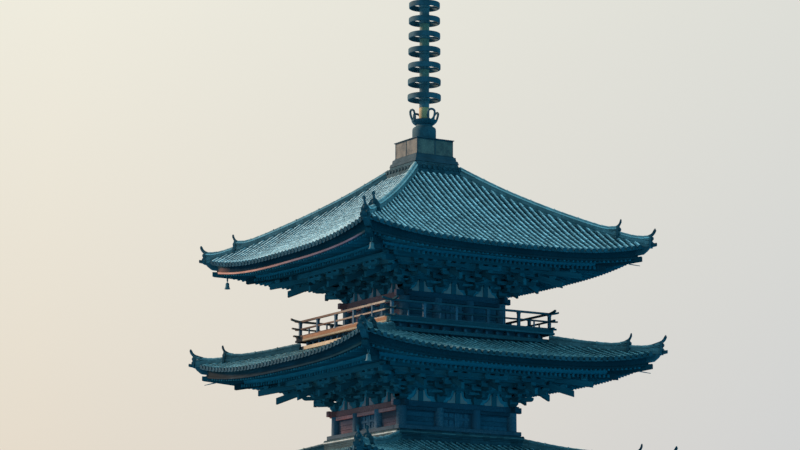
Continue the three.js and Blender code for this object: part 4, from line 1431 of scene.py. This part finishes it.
def make_flame():
    """Four upright plates of pierced flames round a slim core."""
    z = SHAFT_TOP
    outer = [(0.07, 0.00), (0.30, 0.05), (0.47, 0.20), (0.55, 0.42), (0.50, 0.60), (0.585, 0.74), (0.600, 0.90),
             (0.50, 1.04), (0.43, 1.16), (0.485, 1.30), (0.47, 1.46), (0.35, 1.58), (0.27, 1.70), (0.30, 1.82),
             (0.24, 1.98), (0.10, 2.16)]
    inner = [(0.10, 0.16), (0.26, 0.22), (0.38, 0.36), (0.30, 0.52), (0.18, 0.58), (0.30, 0.66), (0.42, 0.82),
             (0.34, 0.98), (0.20, 1.04), (0.24, 1.16), (0.33, 1.28), (0.28, 1.44), (0.16, 1.52), (0.12, 1.66),
             (0.16, 1.80), (0.10, 1.94)]
    copies = []

    def bar(points, radii):
        placed = [(0, -out, z + up) for out, up in points]
        copies.append((swept(placed, radii, segments=6), Matrix()))

    bar(outer, [0.030] * len(outer))
    bar(inner, [0.020] * len(inner))
    for (out, up), (near, low) in zip(outer[3:14:3], inner[3:14:3]):
        bar([(near, low), ((near + out) / 2, (low + up) / 2 + 0.05), (out, up)], [0.016, 0.022, 0.016])
    for out, up in ((0.62, 0.98), (0.52, 1.50), (0.34, 1.92)):
        bar([(out - 0.10, up - 0.14), (out - 0.02, up - 0.05), (out - 0.03, up + 0.08)], [0.030, 0.026, 0.006])
    core = turned([(0, z), (0.115, z), (0.10, z + 1.1), (0.085, z + FLAME_TALL), (0, z + FLAME_TALL)], 20)
    return copies, [(core, Matrix())]


def make_crown():
    """Wheel on its neck, and the pointed jewel on top."""
    wheel = [(0, 0), (0.10, 0), (0.12, 0.05), (0.22, 0.09), (0.285, 0.16), (0.305, 0.24), (0.31, 0.26),
             (0.305, 0.28), (0.285, 0.36), (0.22, 0.44), (0.12, 0.49)]
    jewel = [(0.09, 0.52), (0.085, 0.66), (0.14, 0.70), (0.15, 0.73), (0.22, 0.79), (0.262, 0.87), (0.27, 0.94),
             (0.25, 1.03), (0.20, 1.12), (0.13, 1.21), (0.06, 1.32), (0.02, 1.41)]
    z = SHAFT_TOP + FLAME_TALL
    return [(turned([(out, z + up) for out, up in wheel + jewel] + [(0, TOTAL_HEIGHT)], 32), Matrix())]


# Wind bells and their hooks
def corner_place(n, turn):
    """Where a corner's bell hangs, with +Y along the diagonal."""
    half = EAVE_HALF[n] - BELL_INSET
    near = Matrix.Translation(hip(half, TIP_Z[n] - BELL_PIN_DROP)) @ Matrix.Rotation(-QUARTER / 2, 4, "Z")
    return Matrix.Rotation(turn * QUARTER, 4, "Z") @ near


def make_hook(n, turn, has_bell):
    """Two plates with a pin that carry a bell, or two bare rods where the bell is lost."""
    place = corner_place(n, turn)
    copies = []
    if has_bell:
        plate_form = block(0.016, 0.04, 0.19, 0.002)
        copies += [(plate_form, place @ Matrix.Translation((x, 0, 0.075))) for x in (-0.032, 0.032)]
        pin = Matrix.Rotation(-QUARTER, 4, "Z") @ Matrix.Diagonal((0.008, 0.08, 0.008, 1))
        copies.append((ROD, place @ Matrix.Translation((-0.04, 0, 0)) @ pin))
        return copies
    low = place @ Vector((0, -0.50, 0.015))
    for x in (-0.07, 0.07):
        along = place @ Vector((x, -0.07, 0.10)) - low
        across = along.cross(UP).normalized()
        rod = columns(across * 0.012, along, along.cross(across).normalized() * -0.012, low)
        copies.append((ROD, rod))
    return copies


def make_bell():
    """Flared bell with two bands, its eye above and its clapper inside, hung from the origin."""
    shell = [(0, -0.060), (0.030, -0.062), (0.056, -0.076), (0.068, -0.105), (0.073, -0.16), (0.079, -0.22),
             (0.092, -0.265), (0.112, -0.303), (0.112, -0.312), (0.103, -0.312), (0.084, -0.26),
             (0.070, -0.20), (0.060, -0.12), (0.042, -0.09), (0, -0.085)]
    copies = [(turned(shell, 28), Matrix())]
    for z, r in ((-0.125, 0.0700), (-0.275, 0.0965)):
        band = [(r - 0.006, z - 0.006), (r + 0.003, z - 0.006), (r + 0.004, z), (r + 0.001, z + 0.006),
                (r - 0.006, z + 0.006), (r - 0.006, z - 0.006)]
        copies.append((turned(band, 28), Matrix()))
    hole, rim, half = 0.0088, 0.024, 0.009
    eye = turned([(hole, -half), (rim, -half), (rim, half), (hole, half), (hole, -half)], 20)
    copies.append((eye, Matrix.Rotation(QUARTER, 4, "Y")))
    copies.append((block(0.02, 0.02, 0.055, 0.002, at=(0, 0, -0.042)), Matrix()))
    clapper = [(0, -0.085), (0.006, -0.085), (0.006, -0.22), (0.022, -0.235), (0.026, -0.255),
               (0.018, -0.275), (0, -0.28)]
    copies.append((turned(clapper, 14), Matrix()))
    return copies


# Putting the tower together
def dress_roof(n):
    """Tiles, ridges, flashing and boards of one roof."""
    tag = f"storey_{n + 1}"
    top = n == TOP
    clay = CLAY if top else LOWER_CLAY
    covers, eave_covers, pans, ends = make_tiles(n)
    gather(f"{tag}_cover_tiles", covers, clay, nodes=[f"{tag}_roof"], sharp=40)
    gather(f"{tag}_eave_cover_tiles", eave_covers, PALE_CLAY if top else clay, sharp=40)
    gather(f"{tag}_hollow_tiles", pans, SHADED_CLAY)
    gather(f"{tag}_eave_tile_ends", ends + make_corner_tip(n), TILE_END_CLAY)
    courses, caps, mortar, straps, ornaments, horns = make_ridges(n)
    if n < TOP - 1:
        flashing, flashing_caps, flashing_mortar = make_wall_flashing(n)
        gather(f"{tag}_wall_flashing", flashing + flashing_caps, TILE_END_CLAY)
        gather(f"{tag}_flashing_mortar", flashing_mortar, FLASHING_MORTAR)
    gather(f"{tag}_ridges", courses, RIDGE_CLAY)
    gather(f"{tag}_ridge_mortar", mortar, MORTAR if top else RIDGE_CLAY)
    gather(f"{tag}_ridge_caps", caps, CAP_CLAY)
    gather(f"{tag}_ridge_ties", straps, TIE_PLASTER)
    gather(f"{tag}_ridge_ornaments", ornaments, TILE_END_CLAY)
    kept = [Matrix.Rotation(turn * QUARTER, 4, "Z") for turn in range(4) if (n, turn) != LOST_HORNS]
    placed = [(form, turn @ place) for turn in kept for form, place in horns]
    gather(f"{tag}_ridge_horns", placed, TILE_END_CLAY, sides=1)
    gather(f"{tag}_roof_boards", make_roof_boards(n), SOFFIT_BOARDS, sides=1)
    edge, filling = (EDGE_TIMBER, FILLING_TIMBER) if top else (LOWER_EDGE_TIMBER, LOWER_EDGE_TIMBER)
    gather(f"{tag}_eave_board", make_eave_edge(n), edge, sides=1)
    gather(f"{tag}_eave_filling", make_eave_filling(n), filling, sides=1)


def dress_storey(n):
    """Everything of one storey that stands under its roof."""
    tag = f"storey_{n + 1}"
    with_bells = {corner for _, level, corner in BELLS if level == n}
    hooks = []
    for turn in range(4):
        hooks += make_hook(n, turn, turn in with_bells)
    gather(f"{tag}_bell_hooks", hooks, BELL_BRONZE, sides=1)
    gather(f"{tag}_rafters", make_rafters(n), RAFTER_TIMBER, nodes=[f"{tag}_eaves"])
    gather(f"{tag}_hip_rafters", make_hip_rafters(n), HIP_TIMBER)
    gather(f"{tag}_rafter_beam", make_rafter_beam(n), RAFTER_TIMBER, sides=1)
    gather(f"{tag}_bracket_sets", make_brackets(n), BRACKET_TIMBER, nodes=[f"{tag}_brackets"])
    backing, plaster = make_bracket_wall(n)
    gather(f"{tag}_bracket_wall", backing, SHELTERED_TIMBER, sides=1)
    gather(f"{tag}_plaster", plaster, PLASTER)
    posts, beams = make_frame(n)
    gather(f"{tag}_posts_and_sill", posts, OLD_TIMBER, nodes=[f"{tag}_frame"])
    gather(f"{tag}_head_beams", beams, HEAD_TIMBER)
    gather(f"{tag}_wall_boards", make_walls(n), WALL_BOARDS, nodes=[f"{tag}_walls"])
    doors, threshold = make_doors(n)
    gather(f"{tag}_panelled_doors", doors, DOOR_TIMBER, nodes=[f"{tag}_doors"])
    gather(f"{tag}_threshold", [threshold], DOOR_TIMBER, sides=1)
    if n:
        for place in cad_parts[f"{tag}_floor"].material_slots:
            place.material = RAFTER_TIMBER


for level in range(5):
    dress_roof(level)
    dress_storey(level)
gather("balcony_boards", make_balcony(), OLD_TIMBER, nodes=["balcony_deck"])
deck_edge = edge_board(BALCONY_HALF - 0.03, 0.10, DECK_TOP - 0.03, DECK_TOP - 0.15)
gather("balcony_edge_boards", [deck_edge], DECK_TIMBER)
gather("balcony_lips", make_balcony_lips(), LIP_TIMBER)
rails, rail_posts = make_railing()
gather("balcony_rails", rails, RAIL_TIMBER, nodes=["balcony_railing"])
gather("balcony_posts", rail_posts, OLD_TIMBER)
gather("spire_foot_courses", make_spire_foot(), TILE_END_CLAY)
stones, stone_core = make_podium()
gather("podium_stones", stones, STONE, nodes=["stone_podium"])
gather("podium_core", stone_core, STONE, sides=1)
sheets, plinth, basin = make_dew_basin()
gather("spire_box_sheets", sheets, BOX_BRONZE, nodes=["spire_dew_basin"])
gather("spire_box_plinth", plinth, BOX_TRIM)
gather("spire_box_lid", basin, BOX_TRIM, sides=1)
gather("spire_upturned_bowl", make_bowl(), BRONZE, nodes=["spire_bowl"], sides=1)
gather("spire_lotus_petals", make_lotus(), BRONZE, nodes=["spire_lotus"], sides=1)
rings, mast, pale_sleeves, worn_sleeves = make_mast()
gather("spire_rings", rings, BRONZE, nodes=["spire_ringed_shaft"], sides=1)
gather("spire_mast", mast, MAST_BRONZE, sides=1)
gather("spire_pale_sleeve", pale_sleeves, SLEEVE_BRONZE, sides=1)
gather("spire_worn_sleeves", worn_sleeves, WORN_BRONZE, sides=1)
flames, flame_core = make_flame()
gather("spire_flames", flames, BRONZE, nodes=["spire_water_flame"])
gather("spire_flame_core", flame_core, BRONZE, sides=1)
gather("spire_wheel_and_jewel_casting", make_crown(), BRONZE, nodes=["spire_wheel_and_jewel"],
       sides=1)
for bell, level, corner in BELLS:
    place = corner_place(level, corner)
    copies = [(form, place @ local) for form, local in make_bell()]
    gather(f"{bell}_casting", copies, BELL_BRONZE, nodes=[bell], sides=1, body=bell)

# Floor, sky and light
def make_floor():
    """Pale disc that the tower stands on."""
    pale = bpy.data.materials.new("pale_floor")
    pale.use_nodes = True
    shader = pale.node_tree.nodes["Principled BSDF"]
    shader.inputs["Base Color"].default_value = (0.84, 0.62, 0.58, 1)
    shader.inputs["Roughness"].default_value = 0.9
    bm = bmesh.new()
    bmesh.ops.create_circle(bm, cap_ends=True, segments=96, radius=90)
    bmesh.ops.translate(bm, vec=(0, 0, -0.005), verts=bm.verts)
    mesh = bpy.data.meshes.new("studio_floor")
    bm.to_mesh(mesh)
    bm.free()
    mesh.materials.append(pale)
    disc = bpy.data.objects.new("studio_floor", mesh)
    bpy.context.scene.collection.objects.link(disc)
    disc.visible_diffuse = False
    disc.visible_glossy = False


def make_world():
    """Pale backdrop for the eye, and pale light from above with blue-green from the sides and below."""
    world = bpy.data.worlds.new("studio")
    bpy.context.scene.world = world
    world.use_nodes = True
    tree = world.node_tree
    tree.nodes.clear()
    way = node(tree, "ShaderNodeTexCoord").outputs["Generated"]
    split = node(tree, "ShaderNodeSeparateXYZ", {"Vector": way})
    east, up = split.outputs["X"], split.outputs["Z"]
    around = mixed(tree, ramp(tree, east, -0.2, -1.0), (0.030, 0.78, 1.40, 1), (0.24, 0.78, 1.13, 1))
    light = mixed(tree, ramp(tree, up, 0.0, 0.65), around, (0.36, 0.80, 0.96, 1))
    across = ramp(tree, east, 0.40, 0.62)
    high = mixed(tree, across, (0.860, 0.832, 0.726, 1), (0.716, 0.723, 0.679, 1))
    low = mixed(tree, across, (0.790, 0.716, 0.605, 1), (0.645, 0.651, 0.647, 1))
    seen = mixed(tree, ramp(tree, up, 0.10, 0.245), low, high)
    lit = node(tree, "ShaderNodeBackground", {"Color": light, "Strength": 1.0})
    shown = node(tree, "ShaderNodeBackground", {"Color": seen, "Strength": 1.0})
    eye = node(tree, "ShaderNodeLightPath").outputs["Is Camera Ray"]
    both = node(tree, "ShaderNodeMixShader", {0: eye, 1: lit.outputs[0], 2: shown.outputs[0]})
    end = node(tree, "ShaderNodeOutputWorld")
    tree.links.new(both.outputs[0], end.inputs["Surface"])


def make_sun(toward, strength, colour, angle):
    """Warm light from low on the left."""
    lamp = bpy.data.lights.new("low_warm_key", "SUN")
    lamp.energy = strength
    lamp.color = colour
    lamp.angle = math.radians(angle)
    made = bpy.data.objects.new("low_warm_key", lamp)
    made.rotation_euler = Vector(toward).to_track_quat("Z", "Y").to_euler()
    bpy.context.scene.collection.objects.link(made)


# Viewpoint: distance and height in metres, angles in degrees, focal length in pixels of an 800-pixel frame
VIEW_DISTANCE = 111.66
VIEW_HEIGHT = 5.375
VIEW_AZIMUTH = -31.29
VIEW_ASIDE = 0.463
VIEW_PITCH = 10.02
VIEW_ROLL = 0.237
FOCAL_PIXELS = 3002
FRAME_PIXELS = 800
SENSOR_WIDTH = 36


def make_camera():
    """Long lens from far off, looking up at the top of the tower."""
    azimuth = math.radians(VIEW_AZIMUTH)
    spot = Vector((VIEW_DISTANCE * math.sin(azimuth), -VIEW_DISTANCE * math.cos(azimuth), VIEW_HEIGHT))
    turn = azimuth + math.radians(VIEW_ASIDE)
    pitch = math.radians(VIEW_PITCH)
    view = Vector((-math.sin(turn) * math.cos(pitch), math.cos(turn) * math.cos(pitch), math.sin(pitch)))
    right = view.cross(UP).normalized()
    above = right.cross(view)
    roll = math.radians(VIEW_ROLL)
    right = right * math.cos(roll) + above * math.sin(roll)
    above = right.cross(view)
    camera = bpy.data.cameras.new("camera")
    camera.sensor_width = SENSOR_WIDTH
    camera.lens = SENSOR_WIDTH * FOCAL_PIXELS / FRAME_PIXELS
    camera.clip_end = 1000
    made = bpy.data.objects.new("camera", camera)
    made.matrix_world = columns(right, above, -view, spot)
    bpy.context.scene.collection.objects.link(made)
    bpy.context.scene.camera = made


make_floor()
make_world()
make_sun((-0.604, 0.722, 0.342), 5.2, (1.0, 0.78, 0.56), 10)
make_camera()
bpy.context.scene.view_settings.view_transform = "Standard"
